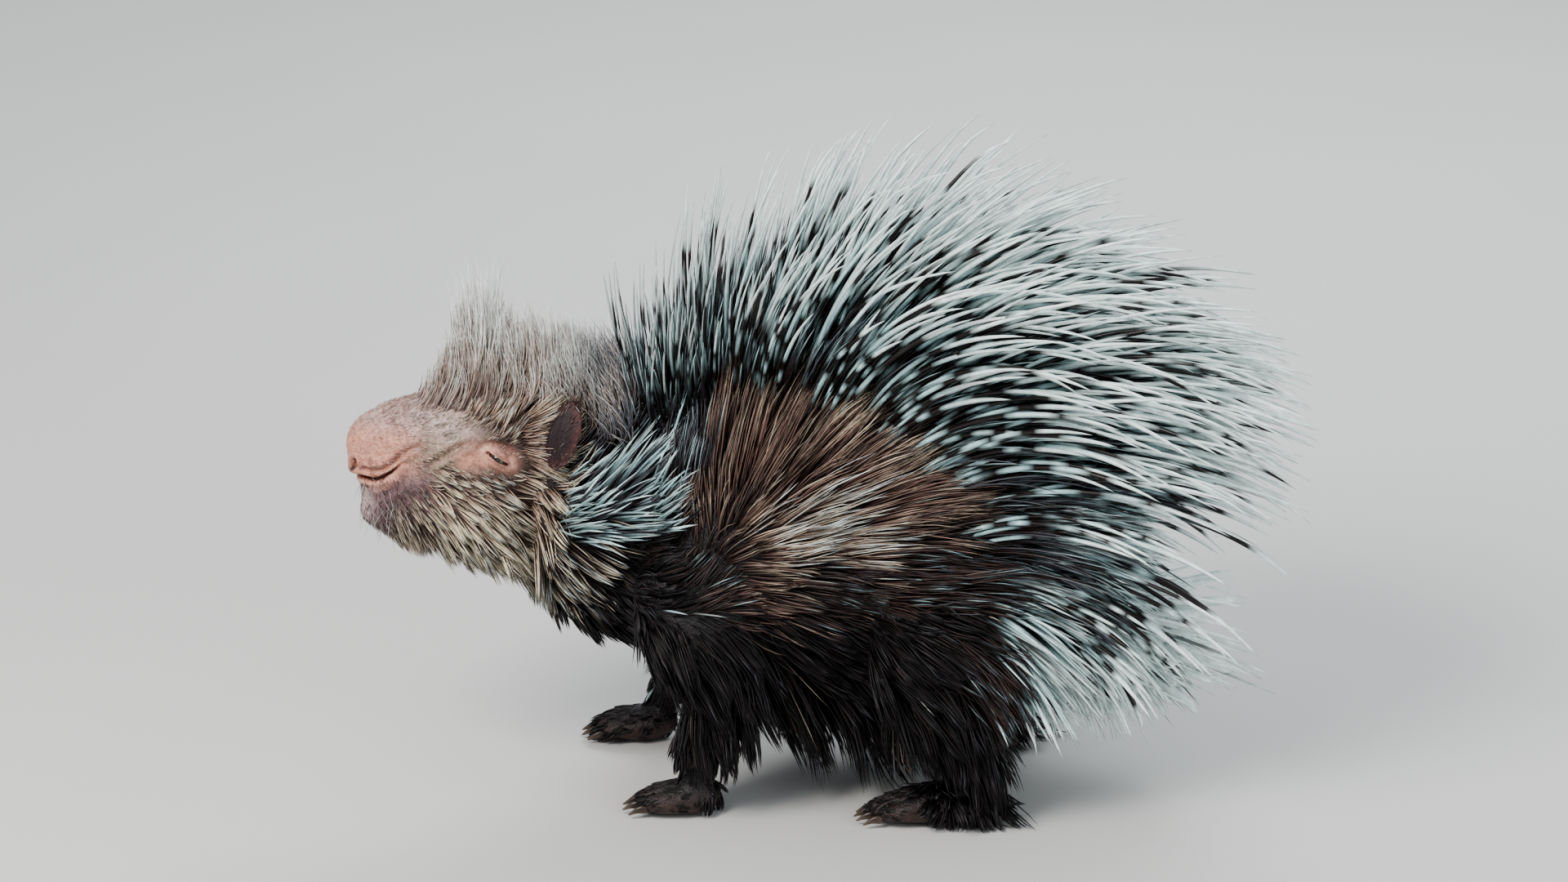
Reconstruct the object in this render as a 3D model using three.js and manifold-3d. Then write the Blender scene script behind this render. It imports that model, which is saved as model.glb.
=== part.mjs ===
// Crested porcupine, life size, standing with its quills raised and its head held level.
// Millimetres, +Z up. The animal faces -X, its left side is towards -Y.
// Every fleshy piece is a loft of rounded sections along a centre line, grown by the depth of
// the coat there, so that the solids reach the tips of the hair. The quill mantle, crest and
// tail rattle are blocks whose points follow the lie and length of the quills.
import * as THREE from "three";
import { mergeVertices } from "three/addons/utils/BufferGeometryUtils.js";
import Module from "manifold-3d";

const wasm = await Module();
wasm.setup();

const GAP = 0.35; // clear space between neighbouring solids
const CENTRE_X = 11.1; // moves the box's middle onto the origin
const CENTRE_Y = 0;
const HEAD_ROLL = -12; // degrees about X: the left cheek is turned up
const HEAD_YAW = 4; // degrees about Z: the nose is turned a little to the left
const HEAD_PIVOT = [-180, 0, 258];

// ---------------------------------------------------------------- sections
// A station is [x, y, z, half width, height above, depth below, coat].
const TRUNK = [
  [-198, 0, 148, 54, 50, 52, 16],
  [-134, 0, 176, 77, 88, 84, 24],
  [-58, 0, 190, 96, 112, 106, 26],
  [18, 0, 194, 105, 121, 114, 26],
  [90, 0, 190, 107, 120, 108, 26],
  [150, 0, 176, 94, 104, 88, 24],
  [196, 0, 160, 70, 80, 66, 16],
];
const NECK = [
  [-212, 0, 246, 34, 38, 44, 6],
  [-184, 0, 240, 52, 46, 62, 16],
  [-154, 0, 228, 80, 58, 80, 26],
  [-122, 0, 214, 98, 66, 90, 32],
];
const HEAD = [
  [-343, 0, 259, 25, 25, 22, 1.5],
  [-317, 0, 264, 32, 31, 28, 2],
  [-285, 0, 267, 36, 36, 35, 3],
  [-250, 0, 268, 41, 41, 42, 5],
  [-214, 0, 267, 44, 43, 47, 9],
  [-176, 0, 260, 41, 38, 44, 10],
];
const JAW = [
  [-333, 0, 219, 17, 15, 13, 1.5],
  [-313, 0, 216, 23, 21, 17, 3],
  [-283, 0, 217, 28, 27, 20, 9],
  [-248, 0, 218, 34, 26, 24, 17],
  [-212, 0, 222, 38, 26, 26, 22],
];
const TAIL = [
  [176, 0, 166, 30, 26, 26, 6],
  [204, 0, 146, 25, 21, 21, 6],
  [226, 0, 122, 19, 16, 16, 5],
  [240, 0, 98, 12, 11, 11, 4],
];
// Legs: the same sizes left and right, with each foot's own step forward or back.
const UPPER_ARM = [
  [-96, 80, 184, 26, 36, 38, 8],
  [-86, 88, 158, 32, 40, 42, 13],
  [-72, 88, 126, 29, 33, 33, 13],
  [-64, 82, 100, 20, 22, 22, 8],
];
const FOREARM = [
  [-64, 80, 120, 22, 24, 26, 9],
  [-74, 77, 86, 22, 22, 24, 8],
  [-90, 73, 52, 18, 17, 18, 6],
  [-97, 71, 22, 15, 14, 14, 2],
];
const FOREFOOT = [
  [-78, 70, 15, 14, 13, 15, 1.5],
  [-100, 71, 13, 19, 14, 14, 1.5],
  [-125, 72, 10, 21, 10, 11, 1.5],
  [-145, 73, 8, 18, 7, 9, 1],
];
const THIGH = [
  [108, 84, 196, 32, 50, 54, 8],
  [100, 90, 166, 40, 60, 66, 14],
  [86, 94, 128, 39, 55, 56, 16],
  [76, 95, 92, 27, 34, 34, 10],
];
const SHANK = [
  [72, 93, 124, 28, 40, 36, 10],
  [94, 92, 94, 27, 33, 32, 9],
  [120, 89, 60, 21, 23, 23, 6],
  [136, 86, 28, 16, 16, 17, 2],
];
const HINDFOOT = [
  [154, 85, 15, 15, 14, 15, 1.5],
  [120, 86, 14, 20, 15, 15, 1.5],
  [84, 88, 11, 22, 11, 12, 1.5],
  [56, 89, 8, 19, 7, 9, 1],
];
const FORE_STEP = { left: 8, right: -26 };
const HIND_STEP = { left: -22, right: 6 };
const FORE_CLAWS = 4;
const HIND_CLAWS = 5;
const CLAW = { length: 15, r: 3.1 };
const EYE = { x: -235, y: 41.0, z: 258, r: 7.6 };
const EAR = { x: -192, y: 52, z: 280, high: 25, wide: 18, thick: 3.6, cup: 8 };

// ---------------------------------------------------------------- sums
const rad = (d) => (d * Math.PI) / 180;
const lerp = (a, b, t) => a + (b - a) * t;
const clamp01 = (t) => Math.min(1, Math.max(0, t));
const smooth = (lo, hi, x) => {
  const t = clamp01((x - lo) / (hi - lo));
  return t * t * (3 - 2 * t);
};
// A curve through equally spaced values.
function through(values, s) {
  const n = values.length - 1;
  const f = clamp01(s) * n;
  const i = Math.min(n - 1, Math.floor(f));
  const t = f - i;
  const p1 = values[i];
  const p2 = values[i + 1];
  const p0 = i > 0 ? values[i - 1] : 2 * p1 - p2;
  const p3 = i < n - 1 ? values[i + 2] : 2 * p2 - p1;
  return (
    0.5 *
    (2 * p1 +
      (p2 - p0) * t +
      (2 * p0 - 5 * p1 + 4 * p2 - p3) * t * t +
      (3 * p1 - p0 - 3 * p2 + p3) * t * t * t)
  );
}
const column = (stations, k) => stations.map((q) => q[k]);

// ---------------------------------------------------------------- lofts
// A point on a loft: s along it, turn round it from the top, more = extra size.
function loftPoint(stations, s, turn, round, more, coated) {
  const at = (k) => through(column(stations, k), s);
  const e = 1e-3;
  const s0 = Math.max(0, s - e);
  const s1 = Math.min(1, s + e);
  const tangent = new THREE.Vector3(
    through(column(stations, 0), s1) - through(column(stations, 0), s0),
    through(column(stations, 1), s1) - through(column(stations, 1), s0),
    through(column(stations, 2), s1) - through(column(stations, 2), s0),
  ).normalize();
  const side = new THREE.Vector3(0, 1, 0);
  side.addScaledVector(tangent, -side.dot(tangent)).normalize();
  const up = new THREE.Vector3().crossVectors(tangent, side);
  const coat = (coated ? at(6) : 0) + more;
  const end = Math.pow(1 - Math.pow(Math.abs(2 * s - 1), round), 1 / round);
  const cos = Math.cos(turn);
  const sin = Math.sin(turn);
  const high = cos > 0 ? at(4) : at(5);
  return new THREE.Vector3(at(0), at(1), at(2))
    .addScaledVector(side, (at(3) + coat) * end * sin)
    .addScaledVector(up, (high + coat) * end * cos)
    .addScaledVector(tangent, coat * (2 * s - 1));
}

function loft(stations, { around = 20, along = 12, round = 2.6, more = 0, coated = true } = {}) {
  const g = new THREE.SphereGeometry(1, around, along);
  const p = g.getAttribute("position");
  const uv = g.getAttribute("uv");
  for (let i = 0; i < p.count; i++) {
    const s = (1 - Math.cos(Math.PI * (1 - uv.getY(i)))) / 2;
    const turn = 2 * Math.PI * uv.getX(i);
    const v = loftPoint(stations, s, turn, round, more, coated);
    p.setXYZ(i, v.x, v.y, v.z);
  }
  return g;
}

// ---------------------------------------------------------------- quills
// The trunk's skin at x, turn from the top. Left is negative.
const TRUNK_ROUND = 2.6;
const trunkS = (x) => {
  let lo = 0;
  let hi = 1;
  for (let i = 0; i < 30; i++) {
    const m = (lo + hi) / 2;
    if (through(column(TRUNK, 0), m) < x) lo = m;
    else hi = m;
  }
  return (lo + hi) / 2;
};
const MANTLE = {
  frontX: -110,
  rearX: 184,
  spread: [26, 36, 58, 88, 116], // how far round each side it reaches, front to rear
  rise: [106, 90, 62, 28, -8], // the ridge quills' angle above level, front to rear
  riseSide: [104, 82, 44, 8, -62], // the same at the lower edges
  splay: [46, 44, 38, 30, 22], // sideways angle at the edges
  long: [128, 208, 248, 240, 168], // length on the ridge
  longSide: [112, 170, 204, 206, 108], // length at the edges
  sag: 0.14,
  flutes: 4,
  bite: 0.09,
};
// a runs from the withers to the tail, b across the back, t from root to tip
function mantlePoint(a, b, t) {
  const M = MANTLE;
  const side = Math.sign(b);
  const edge = Math.abs(b);
  const x = lerp(M.frontX, M.rearX, a);
  const s = trunkS(x);
  const turn = rad(through(M.spread, a)) * b;
  const root = loftPoint(TRUNK, s, turn, TRUNK_ROUND, -9, false);
  const rise = rad(lerp(through(M.rise, a), through(M.riseSide, a), Math.pow(edge, 1.3)));
  const splay = rad(through(M.splay, a)) * side * Math.pow(edge, 0.9);
  const long = lerp(through(M.long, a), through(M.longSide, a), edge * edge);
  const d = new THREE.Vector3(
    Math.cos(rise) * Math.cos(splay),
    Math.sin(splay),
    Math.sin(rise) * Math.cos(splay),
  );
  const wave = (n, q) => 0.5 - 0.5 * Math.cos(2 * Math.PI * n * q);
  const flute = 1 - M.bite * t * (0.5 * wave(2 * M.flutes, a) + 0.5 * wave(M.flutes, edge));
  return root
    .addScaledVector(d, long * t * flute)
    .add(new THREE.Vector3(0, 0, -M.sag * long * t * t));
}

const CREST = {
  line: [
    [-298, 290],
    [-268, 298],
    [-234, 302],
    [-198, 296],
    [-168, 288],
    [-140, 282],
  ], // x and z of the roots
  half: [14, 26, 32, 36, 42, 46],
  rise: [64, 80, 84, 87, 94, 104],
  lean: [10, 22, 28, 32, 38, 42],
  long: [30, 92, 90, 86, 90, 98],
  longSide: [14, 44, 52, 58, 68, 84],
};
function crestPoint(a, b, t) {
  const C = CREST;
  const y = through(C.half, a) * b;
  const root = new THREE.Vector3(
    through(column(C.line, 0), a),
    y,
    through(column(C.line, 1), a) - 10 * b * b,
  );
  const rise = rad(through(C.rise, a));
  const splay = rad(through(C.lean, a)) * b;
  const long = lerp(through(C.long, a), through(C.longSide, a), b * b);
  const flute = 1 - 0.12 * t * (0.5 - 0.5 * Math.cos(2 * Math.PI * 5 * a));
  // the crest turns with the head in front and follows the neck behind
  const with_head = 1 - smooth(-215, -120, root.x);
  const v = root.add(
    new THREE.Vector3(
      -Math.cos(rise) * Math.cos(splay) * -1,
      Math.sin(splay),
      Math.sin(rise) * Math.cos(splay),
    ).multiplyScalar(long * t * flute),
  );
  return turned(v, with_head);
}

const RATTLE = { rise: -10, spread: 24, long: 108 };
function rattlePoint(a, b, t) {
  // a runs down the tail, b across it
  const root = new THREE.Vector3(lerp(208, 234, a), 13 * b, lerp(142, 98, a));
  const rise = rad(RATTLE.rise + lerp(14, -14, a) * 1.6);
  const splay = rad(RATTLE.spread) * b;
  const long = RATTLE.long * (1 + 0.12 * a) * (1 - 0.16 * b * b);
  return root.add(
    new THREE.Vector3(
      Math.cos(rise) * Math.cos(splay),
      Math.sin(splay),
      Math.sin(rise) * Math.cos(splay),
    ).multiplyScalar(long * t),
  );
}

function block(at, na, nb, nt) {
  const g = new THREE.BoxGeometry(1, 1, 1, na, nb, nt);
  const p = g.getAttribute("position");
  for (let i = 0; i < p.count; i++) {
    const v = at(p.getX(i) + 0.5, 2 * p.getY(i), p.getZ(i) + 0.5);
    p.setXYZ(i, v.x, v.y, v.z);
  }
  return g;
}

// ---------------------------------------------------------------- the head's turn
const pivot = new THREE.Vector3(...HEAD_PIVOT);
function turned(v, share = 1) {
  return v
    .sub(pivot)
    .applyAxisAngle(new THREE.Vector3(1, 0, 0), rad(HEAD_ROLL) * share)
    .applyAxisAngle(new THREE.Vector3(0, 0, 1), rad(HEAD_YAW) * share)
    .add(pivot);
}
function turnHead(g, shareAt = () => 1) {
  const p = g.getAttribute("position");
  for (let i = 0; i < p.count; i++) {
    const v = new THREE.Vector3().fromBufferAttribute(p, i);
    turned(v, shareAt(v));
    p.setXYZ(i, v.x, v.y, v.z);
  }
  return g;
}

// ---------------------------------------------------------------- solids
function solid(g) {
  const q = g.clone();
  for (const name of Object.keys(q.attributes)) if (name !== "position") q.deleteAttribute(name);
  const m = mergeVertices(q, 1e-4);
  const kept = [];
  const ix = m.index.array;
  for (let i = 0; i < ix.length; i += 3)
    if (ix[i] !== ix[i + 1] && ix[i + 1] !== ix[i + 2] && ix[i] !== ix[i + 2])
      kept.push(ix[i], ix[i + 1], ix[i + 2]);
  const make = (t) =>
    new wasm.Manifold(
      new wasm.Mesh({
        numProp: 3,
        vertProperties: new Float32Array(m.getAttribute("position").array),
        triVerts: new Uint32Array(t),
      }),
    );
  const made = make(kept);
  if (made.volume() > 0) return made;
  for (let i = 0; i < kept.length; i += 3) [kept[i + 1], kept[i + 2]] = [kept[i + 2], kept[i + 1]];
  return make(kept);
}
const boxSolid = (lo, hi) => {
  const g = new THREE.BoxGeometry(hi[0] - lo[0], hi[1] - lo[1], hi[2] - lo[2]);
  g.translate((lo[0] + hi[0]) / 2, (lo[1] + hi[1]) / 2, (lo[2] + hi[2]) / 2);
  return solid(g);
};
const ABOVE = boxSolid([-900, -900, 0], [900, 900, 900]);
const biggest = (s) => {
  const all = s.decompose();
  return all.reduce((a, b) => (b.volume() > a.volume() ? b : a));
};
const FAR = 900;
// The part of a solid between two planes x = from and x = to, or y.
function slice(s, axis, from, to) {
  const lo = [-FAR, -FAR, -FAR];
  const hi = [FAR, FAR, FAR];
  lo[axis] = from;
  hi[axis] = to;
  return s.intersect(boxSolid(lo, hi));
}

// Each entry: name, solid, and the same solid grown by the gap, which later ones are cut by.
const done = [];
function add(name, made, grown, material) {
  let s = made;
  for (const other of done) s = s.subtract(other.grown);
  s = biggest(s);
  done.push({ name, solid: s, grown, material });
  return s;
}
function pair(stations, options) {
  return [solid(loft(stations, options)), solid(loft(stations, { ...options, more: GAP }))];
}
const mirrored = (stations, sign, step = 0, from = 0) =>
  stations.map((q) => [q[0] + step * clamp01(from ? (from - q[2]) / from : 1), q[1] * sign, ...q.slice(2)]);

const SKIN = { color: 0x9a7264, roughness: 0.75, metalness: 0 };
const DARK = { color: 0x241c1a, roughness: 0.8, metalness: 0 };
const PALE = { color: 0xd8d0bf, roughness: 0.65, metalness: 0 };
const QUILL = { color: 0xcfd0c6, roughness: 0.45, metalness: 0 };
const HORN = { color: 0x2e2620, roughness: 0.5, metalness: 0 };
const WET = { color: 0x0c0908, roughness: 0.08, metalness: 0 };

const SIDES = [
  ["left", -1],
  ["right", 1],
];

// eyes
for (const [side, sign] of SIDES) {
  const ball = (r) => {
    const g = new THREE.SphereGeometry(r, 10, 6);
    g.translate(EYE.x, sign * EYE.y, EYE.z);
    return solid(turnHead(g));
  };
  add("eye_" + side, ball(EYE.r), ball(EYE.r + GAP), WET);
}
// claws: a small hooked cone for each toe
function claw(x, y, z, yaw, more) {
  const g = new THREE.SphereGeometry(1, 5, 4);
  const p = g.getAttribute("position");
  const uv = g.getAttribute("uv");
  for (let i = 0; i < p.count; i++) {
    const s = (1 - Math.cos(Math.PI * (1 - uv.getY(i)))) / 2;
    const turn = 2 * Math.PI * uv.getX(i);
    const r = (CLAW.r * (1 - 0.78 * s) + more) * Math.pow(1 - Math.pow(Math.abs(2 * s - 1), 3), 1 / 3);
    const l = (CLAW.length + 2 * more) * s - more;
    const px = -l;
    const py = r * Math.sin(turn);
    const pz = r * 1.15 * Math.cos(turn) + 1.2 * Math.sin(Math.PI * Math.min(1, s * 1.1)) - 3.6 * s * s;
    p.setXYZ(i, x + px * Math.cos(yaw) + py * Math.sin(yaw), y - px * Math.sin(yaw) + py * Math.cos(yaw), z + pz);
  }
  return solid(g);
}
for (const [side, sign] of SIDES) {
  for (let i = 0; i < FORE_CLAWS; i++) {
    const f = (i + 0.5) / FORE_CLAWS - 0.5;
    const at = [-137 + FORE_STEP[side] + 22 * f * f * 1.6, sign * (72 + 34 * f), 7.4];
    const yaw = rad(24 * f) * sign;
    add(`fore_claw_${side}_${i + 1}`, claw(...at, yaw, 0), claw(...at, yaw, GAP), HORN);
  }
  for (let i = 0; i < HIND_CLAWS; i++) {
    const f = (i + 0.5) / HIND_CLAWS - 0.5;
    const at = [64 + HIND_STEP[side] + 26 * f * f * 1.6, sign * (89 + 36 * f), 7.4];
    const yaw = rad(22 * f) * sign;
    add(`hind_claw_${side}_${i + 1}`, claw(...at, yaw, 0), claw(...at, yaw, GAP), HORN);
  }
}
// head, cut across into muzzle and cranium
const headOpt = { around: 16, along: 11, round: 4 };
const headWhole = solid(turnHead(loft(HEAD, headOpt)));
const headGrown = solid(turnHead(loft(HEAD, { ...headOpt, more: GAP })));
const eyesGrown = done.filter((d) => d.name.startsWith("eye")).map((d) => d.grown);
const MUZZLE_X = -288;
for (const [name, lo, hi] of [
  ["muzzle", -FAR, MUZZLE_X - GAP / 2],
  ["cranium", MUZZLE_X + GAP / 2, FAR],
]) {
  let s = slice(headWhole, 0, lo, hi);
  for (const e of eyesGrown) s = s.subtract(e);
  done.push({ name, solid: biggest(s), grown: slice(headGrown, 0, lo - GAP, hi + GAP), material: name === "muzzle" ? SKIN : PALE });
}
// lower jaw
const jawOpt = { around: 14, along: 9, round: 3.4 };
add("lower_jaw", solid(turnHead(loft(JAW, jawOpt))), solid(turnHead(loft(JAW, { ...jawOpt, more: GAP }))), SKIN);
// ears: cupped shells, open to the front and side
function ear(sign, more) {
  const g = new THREE.SphereGeometry(1, 12, 6);
  const p = g.getAttribute("position");
  for (let i = 0; i < p.count; i++) {
    const u = p.getX(i); // across the ear
    const h = p.getZ(i); // up the ear
    const k = p.getY(i); // through it
    const wide = (EAR.wide + more) * u;
    const high = (EAR.high + more) * h;
    const cup = EAR.cup * ((wide / EAR.wide) ** 2 + 0.6 * (high / EAR.high) ** 2);
    const through_ = (EAR.thick / 2 + more) * k * (1 - 0.25 * Math.abs(h)) - cup;
    // the ear's face looks out and forward; its rim curls towards the viewer
    const v = new THREE.Vector3(wide, -through_, high);
    v.applyAxisAngle(new THREE.Vector3(0, 0, 1), rad(-34));
    v.applyAxisAngle(new THREE.Vector3(0, 1, 0), rad(12));
    p.setXYZ(i, EAR.x + v.x, sign * (EAR.y + 8 - v.y), EAR.z + v.z);
  }
  return solid(turnHead(g));
}
for (const [side, sign] of SIDES) add("ear_" + side, ear(sign, 0), ear(sign, GAP), SKIN);

// trunk in three lengths
const trunkOpt = { around: 22, along: 14, round: TRUNK_ROUND };
const trunkWhole = solid(loft(TRUNK, trunkOpt));
const trunkGrown = solid(loft(TRUNK, { ...trunkOpt, more: GAP }));
const before = [...done];
for (const [name, lo, hi] of [
  ["chest", -FAR, -48 - GAP / 2],
  ["middle", -48 + GAP / 2, 84 - GAP / 2],
  ["rump", 84 + GAP / 2, FAR],
]) {
  let s = slice(trunkWhole, 0, lo, hi);
  for (const other of before) s = s.subtract(other.grown);
  done.push({ name, solid: biggest(s), grown: slice(trunkGrown, 0, lo - GAP, hi + GAP), material: DARK });
}
// legs
for (const [side, sign] of SIDES) {
  const fs = FORE_STEP[side];
  const hs = HIND_STEP[side];
  const leg = (name, stations, step, from, opt, cutFloor, material) => {
    const q = mirrored(stations, sign, step, from);
    let [s, grown] = pair(q, opt);
    if (cutFloor) {
      s = s.intersect(ABOVE);
    }
    add(name + "_" + side, s, grown, material);
  };
  leg("forefoot", FOREFOOT, fs, 0, { around: 10, along: 6, round: 2.8 }, true, DARK);
  leg("forearm", FOREARM, fs, 118, { around: 10, along: 6, round: 2.6 }, true, DARK);
  leg("upper_arm", UPPER_ARM, 0, 0, { around: 12, along: 6, round: 2.4 }, false, DARK);
  leg("hindfoot", HINDFOOT, hs, 0, { around: 10, along: 6, round: 2.8 }, true, DARK);
  leg("shank", SHANK, hs, 124, { around: 10, along: 6, round: 2.6 }, true, DARK);
  leg("thigh", THIGH, 0, 0, { around: 14, along: 7, round: 2.4 }, false, DARK);
}
// neck and tail
const neckTurn = (v) => 1 - smooth(-225, -120, v.x);
const neckOpt = { around: 14, along: 7, round: 2.8 };
add("neck", solid(turnHead(loft(NECK, neckOpt), neckTurn)), solid(turnHead(loft(NECK, { ...neckOpt, more: GAP }), neckTurn)), PALE);
add("tail", ...pair(TAIL, { around: 10, along: 6, round: 2.4 }), QUILL);

// quill mantle: four blocks that meet along the back and along a row of quills
const MID = 0.5;
const SLIT = 0.0016;
const EDGE = 0.006;
const earlier = [...done];
for (const [name, a0, a1, b0, b1] of [
  ["quills_front_left", 0, MID - SLIT, -1, -SLIT],
  ["quills_front_right", 0, MID - SLIT, SLIT, 1],
  ["quills_rear_left", MID + SLIT, 1, -1, -SLIT],
  ["quills_rear_right", MID + SLIT, 1, SLIT, 1],
]) {
  const at = (a, b, t) => mantlePoint(lerp(a0, a1, a), lerp(b0, b1, (b + 1) / 2), t);
  let s = solid(block(at, 7, 6, 3));
  for (const other of earlier) s = s.subtract(other.grown);
  done.push({ name, solid: biggest(s), material: QUILL });
}
const mantleGrown = solid(
  block((a, b, t) => mantlePoint(lerp(-EDGE, 1 + EDGE, a), b * (1 + 2 * EDGE), t * (1 + EDGE)), 14, 12, 3),
);
// tail rattle and crest
for (const [name, at, n, material] of [
  ["rattle", rattlePoint, [3, 3, 2], QUILL],
  ["crest", crestPoint, [8, 4, 2], PALE],
]) {
  let s = solid(block(at, ...n));
  for (const other of earlier) s = s.subtract(other.grown);
  s = biggest(s.subtract(mantleGrown));
  done.push({ name, solid: s, material });
}

// ---------------------------------------------------------------- meshes
const group = new THREE.Group();
group.name = "porcupine";
for (const d of done) {
  const m = d.solid.getMesh();
  const g = new THREE.BufferGeometry();
  const v = new Float32Array(m.numVert * 3);
  for (let i = 0; i < m.numVert; i++)
    v.set(m.vertProperties.subarray(i * m.numProp, i * m.numProp + 3), i * 3);
  g.setAttribute("position", new THREE.BufferAttribute(v, 3));
  g.setIndex(new THREE.BufferAttribute(new Uint32Array(m.triVerts), 1));
  const mesh = new THREE.Mesh(g, new THREE.MeshStandardMaterial(d.material));
  mesh.name = d.name;
  group.add(mesh);
}
group.position.set(-CENTRE_X, -CENTRE_Y, 0);

export default group;
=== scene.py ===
"""A crested porcupine, life size, standing with its crest up and its quills raised.

One skin stands for the flesh. Hair, bristles and quills are joined meshes of tapered strands that
follow the lie of the coat. Sizes are in millimetres in the animal's own frame until the meshes are
made: it faces -X and its left side is towards -Y.
"""

import math

import bmesh
import bpy
import numpy as np
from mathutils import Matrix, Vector
from mathutils.bvhtree import BVHTree
from mathutils.kdtree import KDTree


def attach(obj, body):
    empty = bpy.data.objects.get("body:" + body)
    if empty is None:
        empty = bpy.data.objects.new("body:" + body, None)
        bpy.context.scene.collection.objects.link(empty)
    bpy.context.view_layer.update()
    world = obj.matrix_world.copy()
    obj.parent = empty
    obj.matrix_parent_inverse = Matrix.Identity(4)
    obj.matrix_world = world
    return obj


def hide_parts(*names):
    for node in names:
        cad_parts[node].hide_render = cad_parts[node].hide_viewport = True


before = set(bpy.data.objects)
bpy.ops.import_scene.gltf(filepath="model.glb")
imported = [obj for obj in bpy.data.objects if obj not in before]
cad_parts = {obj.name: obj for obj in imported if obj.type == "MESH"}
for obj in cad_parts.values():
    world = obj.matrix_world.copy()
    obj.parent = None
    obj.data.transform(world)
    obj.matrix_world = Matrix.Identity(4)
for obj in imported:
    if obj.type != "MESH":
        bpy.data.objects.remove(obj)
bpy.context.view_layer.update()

CX = 11.1  # the animal's frame to the row frame, along X
SEED = 4107
COS20, SIN20 = math.cos(math.radians(20)), math.sin(math.radians(20))

# ------------------------------------------------------------------ camera
PX = 0.6  # millimetres of the animal across one pixel of the 1920 wide picture
cam_data = bpy.data.cameras.new("camera")
cam = bpy.data.objects.new("camera", cam_data)
bpy.context.scene.collection.objects.link(cam)
AIM = Vector(((-24.0 - CX) / 1000, 0.0, 0.265))
FAR = 4.8
cam_data.sensor_width = 36.0
cam_data.lens = 150.0
cam.location = AIM + Vector((0.0, -FAR * COS20, FAR * SIN20))
cam.rotation_euler = (math.radians(70), 0, 0)
cam_data.clip_end = 60
bpy.context.scene.camera = cam


# ------------------------------------------------------------------ sums
def through(values, s):
    v = np.asarray(values, float)
    n = len(v) - 1
    f = np.clip(s, 0, 1) * n
    i = np.minimum(n - 1, np.floor(f).astype(int))
    t = f - i
    p1, p2 = v[i], v[i + 1]
    p0 = np.where(i > 0, v[np.maximum(i - 1, 0)], 2 * p1 - p2)
    p3 = np.where(i < n - 1, v[np.minimum(i + 2, n)], 2 * p2 - p1)
    return 0.5 * (
        2 * p1
        + (p2 - p0) * t
        + (2 * p0 - 5 * p1 + 4 * p2 - p3) * t * t
        + (3 * p1 - p0 - 3 * p2 + p3) * t * t * t
    )


def lerp(a, b, t):
    return a + (b - a) * t


def smooth(lo, hi, x):
    t = np.clip((x - lo) / (hi - lo), 0, 1)
    return t * t * (3 - 2 * t)


def unit(v):
    return v / np.maximum(np.linalg.norm(v, axis=-1, keepdims=True), 1e-9)


def srgb(r, g, b):
    c = np.array([r, g, b], float) / 255
    return np.where(c <= 0.04045, c / 12.92, ((c + 0.055) / 1.055) ** 2.4)


def loft_point(stations, s, turn, rnd, more=0.0, coated=False):
    st = np.asarray(stations, float)
    s, turn = np.broadcast_arrays(np.asarray(s, float), np.asarray(turn, float))

    def at(k):
        return through(st[:, k], s)

    e = 1e-3
    s0, s1 = np.maximum(0, s - e), np.minimum(1, s + e)
    tangent = unit(
        np.stack([through(st[:, k], s1) - through(st[:, k], s0) for k in range(3)], -1)
    )
    side = np.zeros_like(tangent)
    side[..., 1] = 1
    side = unit(side - tangent * np.sum(side * tangent, -1, keepdims=True))
    up = np.cross(tangent, side)
    coat = (at(6) if coated else 0) + more
    end = (1 - np.abs(2 * s - 1) ** rnd) ** (1 / rnd)
    c, n = np.cos(turn), np.sin(turn)
    high = np.where(c > 0, at(4), at(5))
    centre = np.stack([at(0), at(1), at(2)], -1)
    return (
        centre
        + side * ((at(3) + coat) * end * n)[..., None]
        + up * ((high + coat) * end * c)[..., None]
        + tangent * (coat * (2 * s - 1))[..., None]
    )


# ------------------------------------------------------------------ sizes
# A station is [x, y, z, half width, height above, depth below, coat].
TRUNK = [
    [-198, 0, 148, 54, 50, 52, 16],
    [-134, 0, 176, 77, 88, 84, 24],
    [-58, 0, 190, 96, 112, 106, 26],
    [18, 0, 194, 105, 121, 114, 26],
    [90, 0, 190, 107, 120, 108, 26],
    [150, 0, 176, 94, 104, 88, 24],
    [196, 0, 160, 70, 80, 66, 16],
]
NECK = [
    [-216, 0, 248, 38, 40, 52, 0],
    [-186, 0, 240, 50, 46, 66, 0],
    [-156, 0, 226, 66, 56, 78, 0],
    [-118, 0, 210, 80, 64, 86, 0],
]
HEAD = [
    [-343, 0, 259, 25, 25, 22, 1.5],
    [-317, 0, 264, 32, 31, 28, 2],
    [-285, 0, 267, 36, 36, 35, 3],
    [-250, 0, 268, 41, 41, 42, 5],
    [-214, 0, 267, 44, 43, 47, 9],
    [-176, 0, 260, 41, 38, 44, 10],
]
JAW = [
    [-336, 0, 222, 19, 16, 14, 1.5],
    [-313, 0, 218, 25, 23, 17, 3],
    [-283, 0, 219, 29, 28, 20, 9],
    [-248, 0, 220, 34, 28, 24, 17],
    [-212, 0, 224, 38, 28, 26, 22],
]
LIP = [
    [-336, 0, 241, 20, 16, 16, 0],
    [-316, 0, 240, 27, 19, 19, 0],
    [-285, 0, 240, 31, 20, 20, 0],
    [-240, 0, 242, 36, 22, 22, 0],
]
TAIL = [
    [176, 0, 166, 30, 26, 26, 6],
    [204, 0, 146, 25, 21, 21, 6],
    [226, 0, 122, 19, 16, 16, 5],
    [240, 0, 98, 12, 11, 11, 4],
]
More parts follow.
